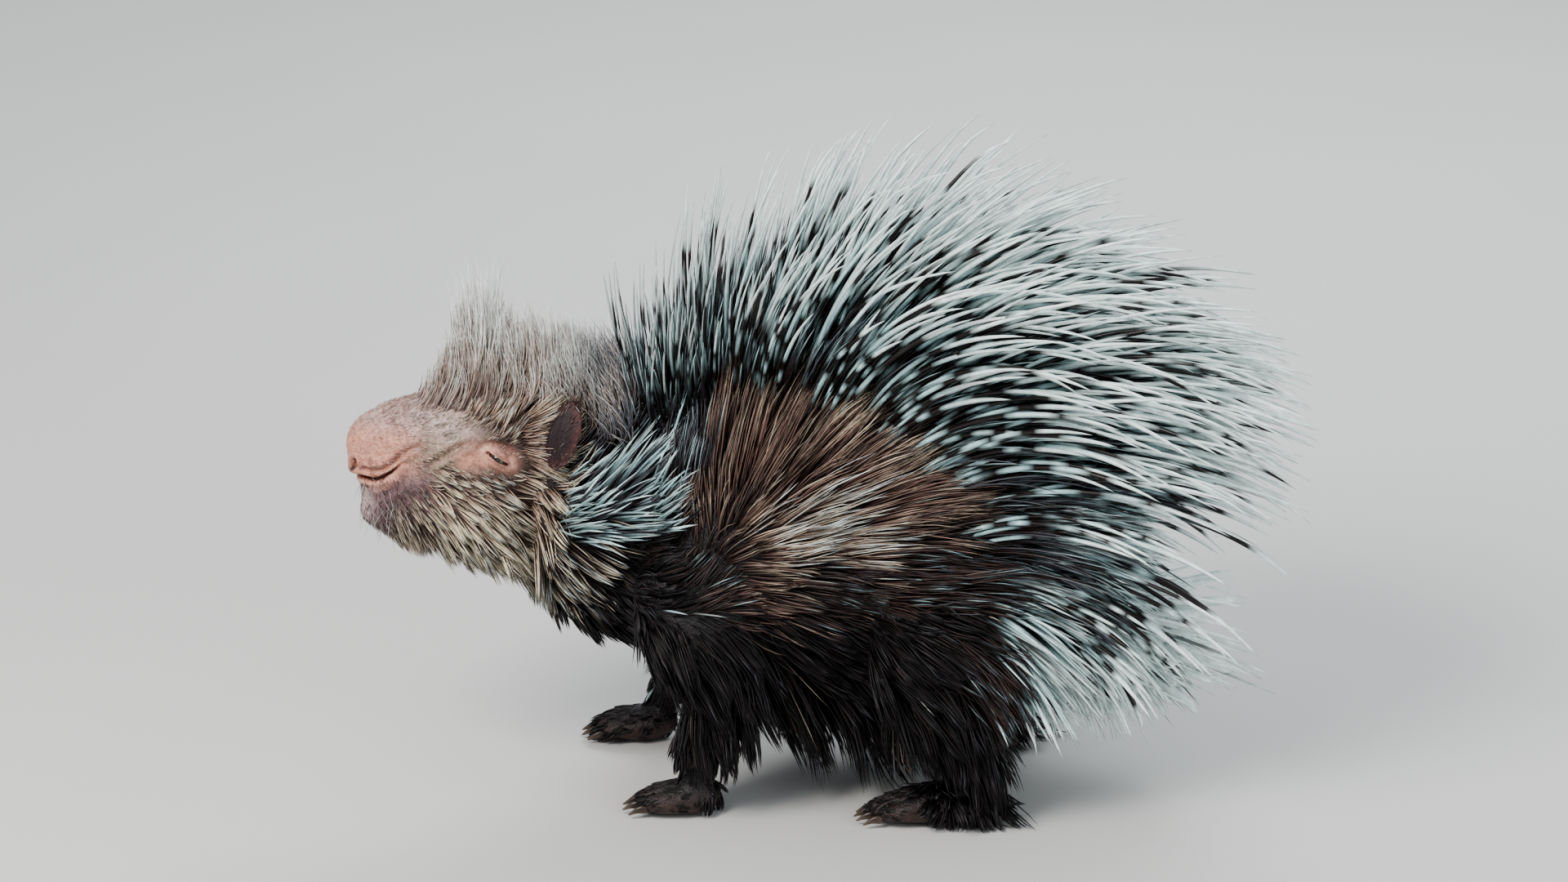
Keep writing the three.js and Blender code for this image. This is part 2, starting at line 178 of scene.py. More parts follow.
UPPER_ARM = [
    [-104, 50, 222, 22, 36, 40, 8],
    [-90, 76, 168, 32, 42, 46, 13],
    [-72, 86, 126, 29, 33, 33, 13],
    [-64, 82, 96, 21, 22, 22, 8],
]
FOREARM = [
    [-64, 80, 128, 22, 24, 26, 9],
    [-74, 77, 86, 22, 22, 24, 8],
    [-90, 73, 52, 17, 16, 17, 6],
    [-97, 71, 18, 14, 13, 14, 2],
]
FOREFOOT = [
    [-78, 70, 15, 14, 13, 15, 1.5],
    [-100, 71, 13, 19, 14, 14, 1.5],
    [-125, 72, 10, 20, 9, 11, 1.5],
    [-141, 73, 8, 16, 6, 8, 1],
]
THIGH = [
    [112, 46, 226, 28, 52, 54, 8],
    [100, 84, 172, 40, 60, 66, 14],
    [86, 93, 128, 39, 55, 56, 16],
    [76, 95, 88, 27, 34, 34, 10],
]
SHANK = [
    [72, 93, 130, 28, 40, 36, 10],
    [94, 92, 94, 27, 33, 32, 9],
    [120, 89, 60, 21, 22, 22, 6],
    [138, 86, 26, 15, 15, 16, 2],
]
HINDFOOT = [
    [154, 85, 15, 15, 14, 15, 1.5],
    [120, 86, 14, 20, 15, 15, 1.5],
    [84, 88, 11, 21, 10, 12, 1.5],
    [60, 89, 8, 18, 6, 8, 1],
]
FORE_STEP = {-1: 8, 1: -26}
HIND_STEP = {-1: -22, 1: 6}
EYE = np.array([-235.0, -39.2, 258.0])
EYE_R = 7.6
EAR = dict(x=-192, y=52, z=280, high=25, wide=18, thick=3.6, cup=8)
CLAW_LONG, CLAW_R = 15.0, 3.1
PIVOT = np.array([-180.0, 0, 258.0])
ROLL, YAW = math.radians(-12), math.radians(4)


def turned(p, share=1.0, back=False):
    """The head's roll and yaw, all of it or a share of it."""
    share = np.asarray(share, float)
    a, b = ROLL * share, YAW * share
    q = p - PIVOT
    x, y, z = q[..., 0], q[..., 1], q[..., 2]
    if back:
        x, y = x * np.cos(b) + y * np.sin(b), -x * np.sin(b) + y * np.cos(b)
        y, z = y * np.cos(a) + z * np.sin(a), -y * np.sin(a) + z * np.cos(a)
    else:
        y, z = y * np.cos(a) - z * np.sin(a), y * np.sin(a) + z * np.cos(a)
        x, y = x * np.cos(b) - y * np.sin(b), x * np.sin(b) + y * np.cos(b)
    return np.stack([x, y, z], -1) + PIVOT


def head_share(p):
    return 1 - smooth(-225, -130, p[..., 0])


def picture(p):
    """Where a point shows in the picture, seen from the left and 20 degrees above."""
    u = 1000 + p[..., 0] / PX
    v = 955 - (p[..., 2] * COS20 + p[..., 1] * SIN20) / PX
    return u, v


def near(p):
    """The same place on the animal's left side."""
    k = head_share(p)
    q = turned(p, k, back=True)
    q[..., 1] = -np.abs(q[..., 1])
    return turned(q, k)


def dist_to_line(p, line):
    """Distance from points to a polyline, and how far along it (0 to 1) the nearest point is."""
    line = np.asarray(line, float)
    best = np.full(len(p), 1e9)
    along = np.zeros(len(p))
    total = np.linalg.norm(np.diff(line, axis=0), axis=1)
    start = np.concatenate([[0], np.cumsum(total)])
    for i in range(len(line) - 1):
        a, b = line[i], line[i + 1]
        ab = b - a
        t = np.clip(((p - a) @ ab) / max(ab @ ab, 1e-9), 0, 1)
        d = np.linalg.norm(p - (a + t[:, None] * ab), axis=1)
        closer = d < best
        best = np.where(closer, d, best)
        along = np.where(closer, (start[i] + t * total[i]) / start[-1], along)
    return best, along


# ------------------------------------------------------------------ meshes
def link(mesh, name):
    ob = bpy.data.objects.new(name, mesh)
    bpy.context.scene.collection.objects.link(ob)
    return ob


def grid_mesh(points):
    """Vertices and faces of a closed skin: points is (rows, columns, 3), the first and last rows are poles."""
    rows, cols = points.shape[:2]
    v = [points[0].mean(0)]
    v += list(points[1:-1].reshape(-1, 3))
    v.append(points[-1].mean(0))
    f = []
    at = lambda r, c: 1 + (r - 1) * cols + c % cols
    for c in range(cols):
        f.append((0, at(1, c + 1), at(1, c)))
        f.append((len(v) - 1, at(rows - 2, c), at(rows - 2, c + 1)))
        for r in range(1, rows - 2):
            f.append((at(r, c), at(r, c + 1), at(r + 1, c + 1), at(r + 1, c)))
    return np.array(v), f


def loft_mesh(stations, rnd=2.6, around=40, along=36, head=False, neck=False):
    s = (1 - np.cos(np.pi * np.linspace(0, 1, along))) / 2
    turn = np.linspace(0, 2 * np.pi, around, endpoint=False)
    p = loft_point(stations, s[:, None], turn[None, :], rnd)
    if head:
        p = turned(p)
    if neck:
        p = turned(p, 1 - smooth(-225, -120, p[..., 0]))
    return grid_mesh(p)


def merged(parts):
    vs, fs, n = [], [], 0
    for v, f in parts:
        vs.append(v)
        fs += [tuple(i + n for i in q) for q in f]
        n += len(v)
    return np.concatenate(vs), fs


def mesh_of(name, v, f):
    """A mesh in metres in the row frame."""
    m = bpy.data.meshes.new(name)
    w = (np.asarray(v) - [CX, 0, 0]) / 1000
    m.from_pydata(w.tolist(), [], f)
    m.update()
    return m


def places(m):
    co = np.empty(len(m.vertices) * 3)
    m.vertices.foreach_get("co", co)
    return co.reshape(-1, 3) * 1000 + [CX, 0, 0]


def put_places(m, p):
    m.vertices.foreach_set("co", ((p - [CX, 0, 0]) / 1000).ravel())
    m.update()


def normals(m):
    n = np.empty(len(m.vertices) * 3)
    m.vertex_normals.foreach_get("vector", n)
    return n.reshape(-1, 3)


def edges(m):
    e = np.empty(len(m.edges) * 2, int)
    m.edges.foreach_get("vertices", e)
    return e.reshape(-1, 2)


def relax(p, e, weight, times, factor=0.5):
    count = np.bincount(e.ravel(), minlength=len(p)).astype(float)
    for _ in range(times):
        total = np.stack(
            [
                np.bincount(e[:, 0], p[e[:, 1], k], len(p))
                + np.bincount(e[:, 1], p[e[:, 0], k], len(p))
                for k in range(3)
            ],
            -1,
        )
        p = p + (total / count[:, None] - p) * (factor * weight)[:, None]
    return p


def paint(m, colour, name="Col"):
    a = m.color_attributes.new(name, "FLOAT_COLOR", "POINT")
    rgba = np.ones((len(m.vertices), 4), np.float32)
    rgba[:, :3] = np.clip(colour, 0, 1)
    a.data.foreach_set("color", rgba.ravel())


# ------------------------------------------------------------------ the skin
def leg(stations, sign, step, fade=0.0, rnd=2.6, around=28, along=26):
    st = [
        [
            q[0] + step * (min(1.0, max(0.0, (fade - q[2]) / fade)) if fade else 1.0),
            q[1] * sign,
        ]
        + q[2:]
        for q in stations
    ]
    return loft_mesh(st, rnd, around, along)


def toes(sign):
    out = []
    for i in range(4):
        f = (i + 0.5) / 4 - 0.5
        x = -137 + FORE_STEP[sign] + 35 * f * f
        y = sign * (72 + 34 * f)
        out.append(
            loft_mesh(
                [
                    [x + 30, sign * (72 + 24 * f), 13, 7, 7, 9, 0],
                    [x + 14, y, 11.5, 6.6, 6.6, 9, 0],
                    [x - 4, y, 8, 4.6, 4.8, 5.4, 0],
                ],
                2.6,
                14,
                12,
            )
        )
    for i in range(5):
        f = (i + 0.5) / 5 - 0.5
        x = 64 + HIND_STEP[sign] + 42 * f * f
        y = sign * (89 + 36 * f)
        out.append(
            loft_mesh(
                [
                    [x + 32, sign * (89 + 26 * f), 13, 6.6, 7, 9, 0],
                    [x + 15, y, 11.5, 6, 6.6, 9, 0],
                    [x - 4, y, 8, 4.3, 4.8, 5.4, 0],
                ],
                2.6,
                14,
                12,
            )
        )
    return out


def base_skin():
    parts = [
        loft_mesh(TRUNK, 2.6, 72, 64),
        loft_mesh(NECK, 2.6, 48, 40, neck=True),
        loft_mesh(HEAD, 4.0, 56, 60, head=True),
        loft_mesh(JAW, 3.4, 44, 44, head=True),
        loft_mesh(LIP, 3.0, 44, 40, head=True),
        loft_mesh(TAIL, 2.4, 24, 24),
    ]
    for sign in (-1, 1):
        parts += [
            leg(FOREFOOT, sign, FORE_STEP[sign], rnd=2.8),
            leg(FOREARM, sign, FORE_STEP[sign], 118),
            leg(UPPER_ARM, sign, 0, rnd=2.4),
            leg(HINDFOOT, sign, HIND_STEP[sign], rnd=2.8),
            leg(SHANK, sign, HIND_STEP[sign], 124),
            leg(THIGH, sign, 0, rnd=2.4),
        ] + toes(sign)
    v, f = merged(parts)
    ob = link(mesh_of("skin_raw", v, f), "skin_raw")
    mod = ob.modifiers.new("r", "REMESH")
    mod.mode = "VOXEL"
    mod.voxel_size = 0.0034
    mod = ob.modifiers.new("s", "SMOOTH")
    mod.factor = 0.5
    mod.iterations = 6
    dg = bpy.context.evaluated_depsgraph_get()
    m = bpy.data.meshes.new_from_object(ob.evaluated_get(dg))
    bpy.data.objects.remove(ob)
    return m


skin = base_skin()
skin.name = "skin"


def refine(m, pick, cuts, rounds):
    """Finer faces where pick(points) is true, made round again."""
    bm = bmesh.new()
    bm.from_mesh(m)
    bm.verts.ensure_lookup_table()
    p = np.array([v.co[:] for v in bm.verts]) * 1000 + [CX, 0, 0]
    inside = pick(p)
    chosen = [e for e in bm.edges if inside[e.verts[0].index] and inside[e.verts[1].index]]
    bmesh.ops.subdivide_edges(bm, edges=chosen, cuts=cuts, use_grid_fill=True)
    bm.to_mesh(m)
    bm.free()
    p = places(m)
    w = pick(p).astype(float)
    put_places(m, relax(p, edges(m), w, rounds))


def head_pick(p):
    return p[:, 0] < -220


refine(skin, head_pick, 2, 9)


def surface_tree(m):
    p = places(m)
    polys = [tuple(f.vertices) for f in m.polygons]
    return BVHTree.FromPolygons([Vector(q) for q in p], polys)


tree = surface_tree(skin)
LOOK = Vector((0, COS20, -SIN20))


def on_skin(u, v):
    """The point of the left side of the skin that shows at this place of the picture."""
    start = Vector(((u - 1000) * PX, 0, 0)) + Vector((0, SIN20, COS20)) * (
        (955 - v) * PX
    )
    hit, _, _, _ = tree.ray_cast(start - LOOK * 900, LOOK)
    if hit is None:
        hit, _, _, _ = tree.find_nearest(start)
    return turned(np.array(hit[:]), 1.0, back=True)


def traced(points):
    return np.array([on_skin(u, v) for u, v in points])


# Lines of the face, as they show on its left side.
LIPS = traced([(440, 580), (448, 584), (460, 587), (471, 584), (483, 577), (495, 567)])
NOSE_FOLD = traced([(440, 566), (449, 572), (460, 575), (472, 573.5), (484, 567), (493, 558)])
NOSE_FOLD_2 = traced([(486, 563), (496, 556), (507, 549), (519, 545)])
CHEEK = traced([(528, 569), (540, 562), (554, 555), (568, 547), (586, 540)])
UNDER_EYE = traced([(583, 571), (597, 577), (613, 581), (632, 580)])
BROW = traced([(588, 548), (600, 543), (616, 544), (632, 552)])
CHIN_FOLD = traced([(464, 612), (478, 604), (491, 594), (503, 582)])
SLIT = traced([(600, 554), (606, 558), (613, 562.5), (623, 568)])
EYE_PATCH = traced([(574, 563), (590, 560), (606, 560), (622, 566)])
NOSTRIL = np.array(
    [[-343, -6.0, 251.0], [-342.5, -9.5, 249.0], [-340.5, -13.5, 250.5], [-338, -16.5, 255.0], [-337, -17.0, 258.0]]
)


def bell(d, w):
    return np.exp(-((d / w) ** 2))


def mouth_height(x, y):
    """Height of the slit of the mouth, right round the front of the face."""
    z = np.interp(x, LIPS[:, 0], LIPS[:, 2])
    return z + 1.6 * bell(np.abs(y), 3.0) * smooth(-322, -330, x)


def shape_face(m):
    p = places(m)
    q = turned(p, 1.0, back=True)
    idx = np.where(q[:, 0] < -196)[0]
    f = q[idx]
    sign = np.where(f[:, 1] > 0, 1.0, -1.0)
    f[:, 1] = -np.abs(f[:, 1])
    n = normals(m)[idx]
    move = np.zeros(len(idx))
    x, y, z = f[:, 0], f[:, 1], f[:, 2]
    # the muzzle's front is flatter, and its lower edge rounds in to the lip
    move += 2.0 * bell(x + 338, 10) * bell(z - 262, 12)
    # mouth: a thin dark slit between rolled lips, all round the front
    up = z - mouth_height(x, y)
    along = smooth(LIPS[-1][0] + 4, LIPS[-1][0] - 12, x)
    low = (z < 262) & (n[:, 2] > -0.96)
    slit = np.where(low, along, 0)
    move -= 5.6 * bell(up, 1.25) * slit
    move += 2.1 * bell(up - 4.4, 3.0) * slit
    move += 1.7 * bell(up + 3.6, 2.2) * slit
    # the cleft under the nose
    move -= 2.2 * bell(y, 1.3) * bell(z - (LIPS[0][2] + 8), 6.5) * smooth(-320, -330, x)
    # folds
    for line, deep, wide, roll in (
        (NOSE_FOLD, 2.6, 1.7, 1.3),
        (NOSE_FOLD_2, 1.9, 1.9, 1.0),
        (CHEEK, 2.6, 2.3, 1.5),
        (UNDER_EYE, 1.5, 1.8, 0.8),
        (BROW, 1.7, 1.9, 1.1),
        (CHIN_FOLD, 1.3, 2.4, 0.6),
    ):
        d, a = dist_to_line(f, line)
        fade = np.sin(np.pi * np.clip(0.06 + 0.94 * a, 0, 1)) ** 0.5
        move -= deep * bell(d, wide) * fade
        move += roll * bell(d - 2.2 * wide, wide) * fade
    # nostrils
    d, _ = dist_to_line(f, NOSTRIL)
    move -= 6.0 * bell(d, 1.7)
    move += 1.6 * bell(d - 4.2, 2.2)
    # small wrinkles over the muzzle and the chin
    w = bell(x + 318, 34)
    move += 0.2 * w * np.sin(z * 1.05 + 1.7 * np.sin(x * 0.21) + 1.1 * np.sin(y * 0.3))
    move += 0.16 * w * np.sin(x * 1.3 + z * 0.5 + 1.4 * np.sin(z * 0.4))
    f += (turned(PIVOT + n, 1.0, back=True) - PIVOT) * [[1, 1, 1]] * move[:, None] * np.stack(
        [np.ones(len(n)), -sign * 1.0, np.ones(len(n))], -1
    )
    # lids: the skin goes over the eyeball but for a narrow slit
    off = f - EYE
    rho = np.hypot(off[:, 0], off[:, 2])
    d_slit, a_slit = dist_to_line(
        np.stack([f[:, 0], np.zeros(len(f)), f[:, 2]], -1), SLIT * [1, 0, 1]
    )
    open_w = 0.3 + 0.7 * np.sin(np.pi * np.clip(0.08 + 0.8 * a_slit, 0, 1))
    gap = 1 - smooth(open_w, open_w + 0.55, d_slit)
    lid = EYE_R + 0.9 + 0.9 * bell(d_slit - 2.0, 1.1) - 0.5 * bell(d_slit - 4.6, 1.2)
    dome = EYE[1] - np.sqrt(np.maximum(lid**2 - rho**2, 4)) + 0.22 * np.maximum(rho - 6, 0)
    cover = smooth(EYE_R + 13, EYE_R - 2.5, rho)
    out = f[:, 1] < -20
    lifted = np.minimum(f[:, 1], dome) * cover + f[:, 1] * (1 - cover)
    f[:, 1] = np.where(out & (rho < 22), lifted, f[:, 1])
    back = EYE[1] - np.sqrt(np.maximum((EYE_R - 1.2) ** 2 - rho**2, 0))
    f[:, 1] = np.where(out & (rho < 12), f[:, 1] * (1 - gap) + np.maximum(f[:, 1], back) * gap, f[:, 1])
    f[:, 1] *= -sign
    p[idx] = turned(f)
    put_places(m, p)


def near_eye(p):
    q = turned(p, 1.0, back=True)
    q[:, 1] = -np.abs(q[:, 1])
    d, _ = dist_to_line(q, SLIT)
    e = np.abs(q[:, 2] - mouth_height(q[:, 0], q[:, 1]))
    g, _ = dist_to_line(q, NOSTRIL)
    mouth = (q[:, 0] < LIPS[-1][0] + 2) & (e < 4.5) & (np.hypot(q[:, 1], q[:, 0] + 290) > 12)
    return (d < 10) | mouth | (g < 4)


def toe_lines():
    """The gaps between the toes: (x of the tips, y at the tips, y further back)."""
    out = []
    for sign in (-1, 1):
        for i in range(3):
            f = (i + 1) / 4 - 0.5
            out.append((-137 + FORE_STEP[sign] + 35 * f * f, sign * (72 + 34 * f), sign * (72 + 24 * f)))
        for i in range(4):
            f = (i + 1) / 5 - 0.5
            out.append((64 + HIND_STEP[sign] + 42 * f * f, sign * (89 + 36 * f), sign * (89 + 26 * f)))
    return out


def toe_area(p):
    on = np.zeros(len(p), bool)
    for x, y, y2 in toe_lines():
        on |= (p[:, 0] > x - 8) & (p[:, 0] < x + 30) & (np.abs(p[:, 1] - y) < 8)
    return on & (p[:, 2] < 34)


def shape_toes(m):
    p, n = places(m), normals(m)
    move = np.zeros(len(p))
    for x, y, y2 in toe_lines():
        t = np.clip((p[:, 0] - x) / 30, 0, 1)
        d = p[:, 1] - lerp(y, y2, t)
        here = (p[:, 2] < 36) * smooth(x - 14, x - 8, p[:, 0]) * smooth(x + 32, x + 16, p[:, 0])
        move = np.maximum(move, 3.4 * bell(d, 1.3) * here)
    up = np.clip(n[:, 2] + 0.35, 0, 1)
    p[:, 2] -= move * up
    p[:, 0] += 0.6 * move * np.clip(-n[:, 0], 0, 1)
    put_places(m, p)


refine(skin, toe_area, 1, 2)
shape_toes(skin)
refine(skin, near_eye, 1, 3)


def near_slit(p):
    q = turned(p, 1.0, back=True)
    q[:, 1] = -np.abs(q[:, 1])
    return dist_to_line(q, SLIT)[0] < 5.5


refine(skin, near_slit, 1, 2)
shape_face(skin)
p = places(skin)
p[:, 2] = np.maximum(p[:, 2], 0.15)
put_places(skin, p)
tree = surface_tree(skin)


# ------------------------------------------------------------------ colours
SALMON = srgb(206, 148, 129)
PINK = srgb(214, 166, 150)
MAUVE = srgb(188, 166, 164)
PLUM = srgb(118, 90, 92)
TAN = srgb(166, 142, 126)
UMBER = srgb(84, 66, 61)
INK = srgb(25, 21, 23)
CREAM = srgb(226, 212, 188)
SILVER = srgb(205, 200, 196)
ICE = srgb(194, 226, 228)
WHITE = srgb(230, 244, 240)
SABLE = srgb(44, 31, 29)
RUST = srgb(116, 87, 79)
STONE = srgb(106, 108, 116)


def skin_colour(p):
    q = turned(p, head_share(p), back=True)
    q[:, 1] = -np.abs(q[:, 1])
    x, y, z = q[:, 0], q[:, 1], q[:, 2]
    c = np.tile(INK, (len(p), 1))

    def mix(to, w):
        nonlocal c
        c = c * (1 - w[:, None]) + to * w[:, None]

    mix(UMBER * 0.8, smooth(-190, -225, x))
    mix(TAN * 0.8, smooth(-232, -262, x))
    mix(SALMON, smooth(-284, -306, x))
    mix(MAUVE, 0.85 * smooth(268, 290, z + (x + 300) * 0.12) * smooth(-235, -280, x))
    lips_z = np.interp(x, LIPS[:, 0], LIPS[:, 2])
    low = smooth(2, 16, lips_z - z) * smooth(-235, -262, x)
    mix(PLUM, low)
    mix(MAUVE, smooth(-322, -334, x) * smooth(4, 9, lips_z - z))
    d, _ = dist_to_line(q, SLIT)
    ahead, _ = dist_to_line(q, EYE_PATCH)
    mix(SALMON, 0.92 * bell(ahead, 8.0))
    mix(PINK, 0.75 * bell(d - 3, 3.2))
    # painted shade: a dark line right along the eye slit, where the lids turn in to the eyeball
    mix(srgb(96, 50, 52), bell(d, 1.0) * 0.9)
    up = z - mouth_height(x, y)
    on = smooth(LIPS[-1][0] + 4, LIPS[-1][0] - 10, x) * (z < 262)
    mix(PINK, 0.75 * bell(up + 3.4, 2.0) * on)
    # painted shade: the mouth line is painted near black, in the slit between the lips
    mix(srgb(60, 24, 24), 0.97 * bell(up, 1.3) * on)
    # painted shade: the nostrils are painted dark in their hollows
    d, _ = dist_to_line(q, NOSTRIL)
    mix(srgb(48, 22, 22), bell(d, 1.9))
    # painted shade: the folds of the face are painted darker along their creases
    for line in (NOSE_FOLD, NOSE_FOLD_2, CHEEK, BROW):
        d, _ = dist_to_line(q, line)
        mix(srgb(120, 70, 58), 0.55 * bell(d, 1.8))
    # soles, and painted shade in the gaps between the toes
    mix(srgb(62, 46, 42), smooth(26, 8, p[:, 2]))
    for gx, gy, gy2 in toe_lines():
        t = np.clip((p[:, 0] - gx) / 30, 0, 1)
        here = (p[:, 2] < 36) * smooth(gx - 14, gx - 8, p[:, 0]) * smooth(gx + 32, gx + 16, p[:, 0])
        mix(INK, 0.85 * bell(p[:, 1] - lerp(gy, gy2, t), 1.5) * here)
    return c


paint(skin, skin_colour(places(skin)))
for f in skin.polygons:
    f.use_smooth = True
skin_ob = link(skin, "skin")

# ------------------------------------------------------------------ ears
def ear_mesh(sign, rows=44, cols=64):
    th = np.linspace(0, np.pi, rows)
    ph = np.linspace(0, 2 * np.pi, cols, endpoint=False)
    # u across, h up, k through
    u = np.sin(th)[:, None] * np.cos(ph)[None]
    k = np.sin(th)[:, None] * np.sin(ph)[None]
    h = np.cos(th)[:, None] * np.ones_like(ph)[None]
    wide = EAR["wide"] * 0.86 * u * (1 + 0.10 * h - 0.42 * np.clip(h - 0.2, 0, 1) ** 1.3)
    high = EAR["high"] * h * (1 + 0.06 * np.clip(h, 0, 1)) - 3.0
    rim = np.sin(th)[:, None] ** 2 * np.cos(ph)[None] ** 2 + h**2
    cup = EAR["cup"] * ((wide / EAR["wide"]) ** 2 + 0.6 * h**2)
    front = k > 0
    ridge = 1.5 * np.exp(-(((u + 0.35 - 0.25 * h) / 0.16) ** 2)) * (h < 0.55) * (1 - rim)
    ridge += 0.9 * np.exp(-(((u - 0.15 + 0.2 * h) / 0.14) ** 2)) * (1 - rim)
    t = EAR["thick"] / 2 * np.abs(k) ** 0.7 * np.sign(k) * (1 - 0.25 * np.abs(h))
    t = np.where(front, t - 2.2 * np.clip(1 - rim, 0, 1) + ridge, t)
    wave = 0.7 * np.sin(5 * h + 1.2) * rim
    y = -(t - cup + wave)
    x = wide + 0.9 * np.sin(3.1 * h) * rim + 4.5 * np.clip(h, 0, 1) ** 2
    a = math.radians(-34)
    x, y = x * math.cos(a) - y * math.sin(a), x * math.sin(a) + y * math.cos(a)
    b = math.radians(12)
    z = high
    x, z = x * math.cos(b) + z * math.sin(b), -x * math.sin(b) + z * math.cos(b)
    p = np.stack([EAR["x"] + x, sign * (EAR["y"] + 8 - y), EAR["z"] + z], -1)
    v, f = grid_mesh(turned(p))
    inside = np.concatenate([[0], np.where(front, np.clip(1 - rim, 0, 1), 0)[1:-1].ravel(), [0]])
    top = np.concatenate([[1], h[1:-1].ravel(), [-1]])
    if sign > 0:
        f = [tuple(reversed(q)) for q in f]
    return v, f, inside, top


ears = []
for sign, side in ((-1, "left"), (1, "right")):
    v, f, inside, top = ear_mesh(sign)
    m = mesh_of("ear_" + side, v, f)
    # painted shade: the inner face of the ear's cup is painted dark plum, where shade falls in the hollow
    w = np.clip(inside * 1.6, 0, 1)[:, None]
    c = srgb(82, 50, 50) * (1 - w) + srgb(38, 22, 27) * w
    c = c * (1 - 0.35 * np.clip(top, 0, 1)[:, None] ** 3)
    paint(m, c)
    for q in m.polygons:
        q.use_smooth = True
    ears.append(link(m, "ear_skin_" + side))
    bm = bmesh.new()
    bm.from_mesh(m)
    bmesh.ops.recalc_face_normals(bm, faces=bm.faces)
    bm.to_mesh(m)
    bm.free()


# ------------------------------------------------------------------ eyes and claws
def ball(centre, r, rows=28, cols=40):
    th = np.linspace(0, np.pi, rows)[:, None]
    ph = np.linspace(0, 2 * np.pi, cols, endpoint=False)[None]
    out = -np.cos(th) * np.ones_like(ph)
    swell = 1 + 0.05 * np.clip(out - 0.55, 0, 1)
    p = np.stack(
        [np.sin(th) * np.cos(ph) * swell, out * swell, np.sin(th) * np.sin(ph) * swell], -1
    )
    return centre + p * r


eye_parts = []
for sign in (-1, 1):
    c = EYE * [1, -sign, 1]
    g = ball(np.zeros(3), EYE_R)
    g[..., 1] *= sign
    v, f = grid_mesh(turned(g + c))
    eye_parts.append((v, f))
v, f = merged(eye_parts)
eyes_mesh = mesh_of("eyes", v, f)
eyes_mesh.update()
bm = bmesh.new()
bm.from_mesh(eyes_mesh)
bmesh.ops.recalc_face_normals(bm, faces=bm.faces)
bm.to_mesh(eyes_mesh)
bm.free()
pe = turned(places(eyes_mesh), 1.0, back=True)
out = (np.abs(pe[:, 1]) + EYE[1]) / EYE_R
ring = np.clip((out - 0.74) / 0.2, 0, 1)[:, None]
paint(eyes_mesh, srgb(52, 34, 26) * (1 - ring) + srgb(8, 6, 6) * ring)
for q in eyes_mesh.polygons:
    q.use_smooth = True
eyes = link(eyes_mesh, "eyes")


def claw_grid(x, y, z, yaw, rows=14, cols=14):
    s = (1 - np.cos(np.pi * np.linspace(0, 1, rows)))[:, None] / 2
    t = np.linspace(0, 2 * np.pi, cols, endpoint=False)[None]
    r = CLAW_R * (1 - 0.78 * s) * (1 - np.abs(2 * s - 1) ** 3) ** (1 / 3)
    px = -CLAW_LONG * s * np.ones_like(t)
    py = r * np.sin(t) * 0.86
    pz = (
        r * 1.12 * np.cos(t)
        + 1.2 * np.sin(np.pi * np.minimum(1, s * 1.1))
        - 3.6 * s * s
        - 0.5 * r * (np.cos(t) < -0.4)
    )
    return np.stack(
        [
            x + px * math.cos(yaw) + py * math.sin(yaw),
            y - px * math.sin(yaw) + py * math.cos(yaw),
            z + pz,
        ],
        -1,
    )


claws_parts = []
claw_nodes = []
for sign, side in ((-1, "left"), (1, "right")):
    for i in range(4):
        f = (i + 0.5) / 4 - 0.5
        g = claw_grid(
            -137 + FORE_STEP[sign] + 22 * f * f * 1.6,
            sign * (72 + 34 * f),
            7.4,
            math.radians(24 * f) * sign,
        )
        claws_parts.append(grid_mesh(g))
        claw_nodes.append(f"fore_claw_{side}_{i + 1}")
    for i in range(5):
        f = (i + 0.5) / 5 - 0.5
        g = claw_grid(
            64 + HIND_STEP[sign] + 26 * f * f * 1.6,
            sign * (89 + 36 * f),
            7.4,
            math.radians(22 * f) * sign,
        )
        claws_parts.append(grid_mesh(g))
        claw_nodes.append(f"hind_claw_{side}_{i + 1}")
v, f = merged(claws_parts)
claws_mesh = mesh_of("claws", v, f)
bm = bmesh.new()
bm.from_mesh(claws_mesh)
bmesh.ops.recalc_face_normals(bm, faces=bm.faces)
bm.to_mesh(claws_mesh)
bm.free()
pc = places(claws_mesh)
pale = np.clip((8 - pc[:, 2]) / 6, 0, 1)[:, None]
paint(claws_mesh, srgb(58, 46, 40) * (1 - pale) + srgb(120, 104, 88) * pale)
for q in claws_mesh.polygons:
    q.use_smooth = True
claws = link(claws_mesh, "claws")


# ------------------------------------------------------------------ strands
def unwrap(p):
    """Where a root lies on the skin's own unwrap: the body round its long axis, and four legs."""
    x, y, z = p[:, 0], p[:, 1], p[:, 2]
    zc = np.interp(x, [-345, -210, -120, 0, 200], [255, 250, 195, 190, 150])
    ang = np.arctan2(y, z - zc) / (2 * np.pi) + 0.5
    u = 0.02 + 0.95 * (x + 360) / 720
    v = 0.02 + 0.68 * ang
    low = (z < 92) & (np.abs(y) > 25)
    fore = x < 0
    cell = np.where(fore, 0, 2) + (y > 0)
    cx = np.where(fore, -85, 95)
    cy = np.sign(y) * np.where(fore, 74, 90)
    la = np.arctan2(y - cy, x - cx) / (2 * np.pi) + 0.5
    u = np.where(low, 0.01 + 0.245 * cell + 0.225 * la, u)
    v = np.where(low, 0.74 + 0.24 * np.clip(z / 92, 0, 1), v)
    return np.stack([np.clip(u, 0, 0.995), np.clip(v, 0, 0.995)], -1)


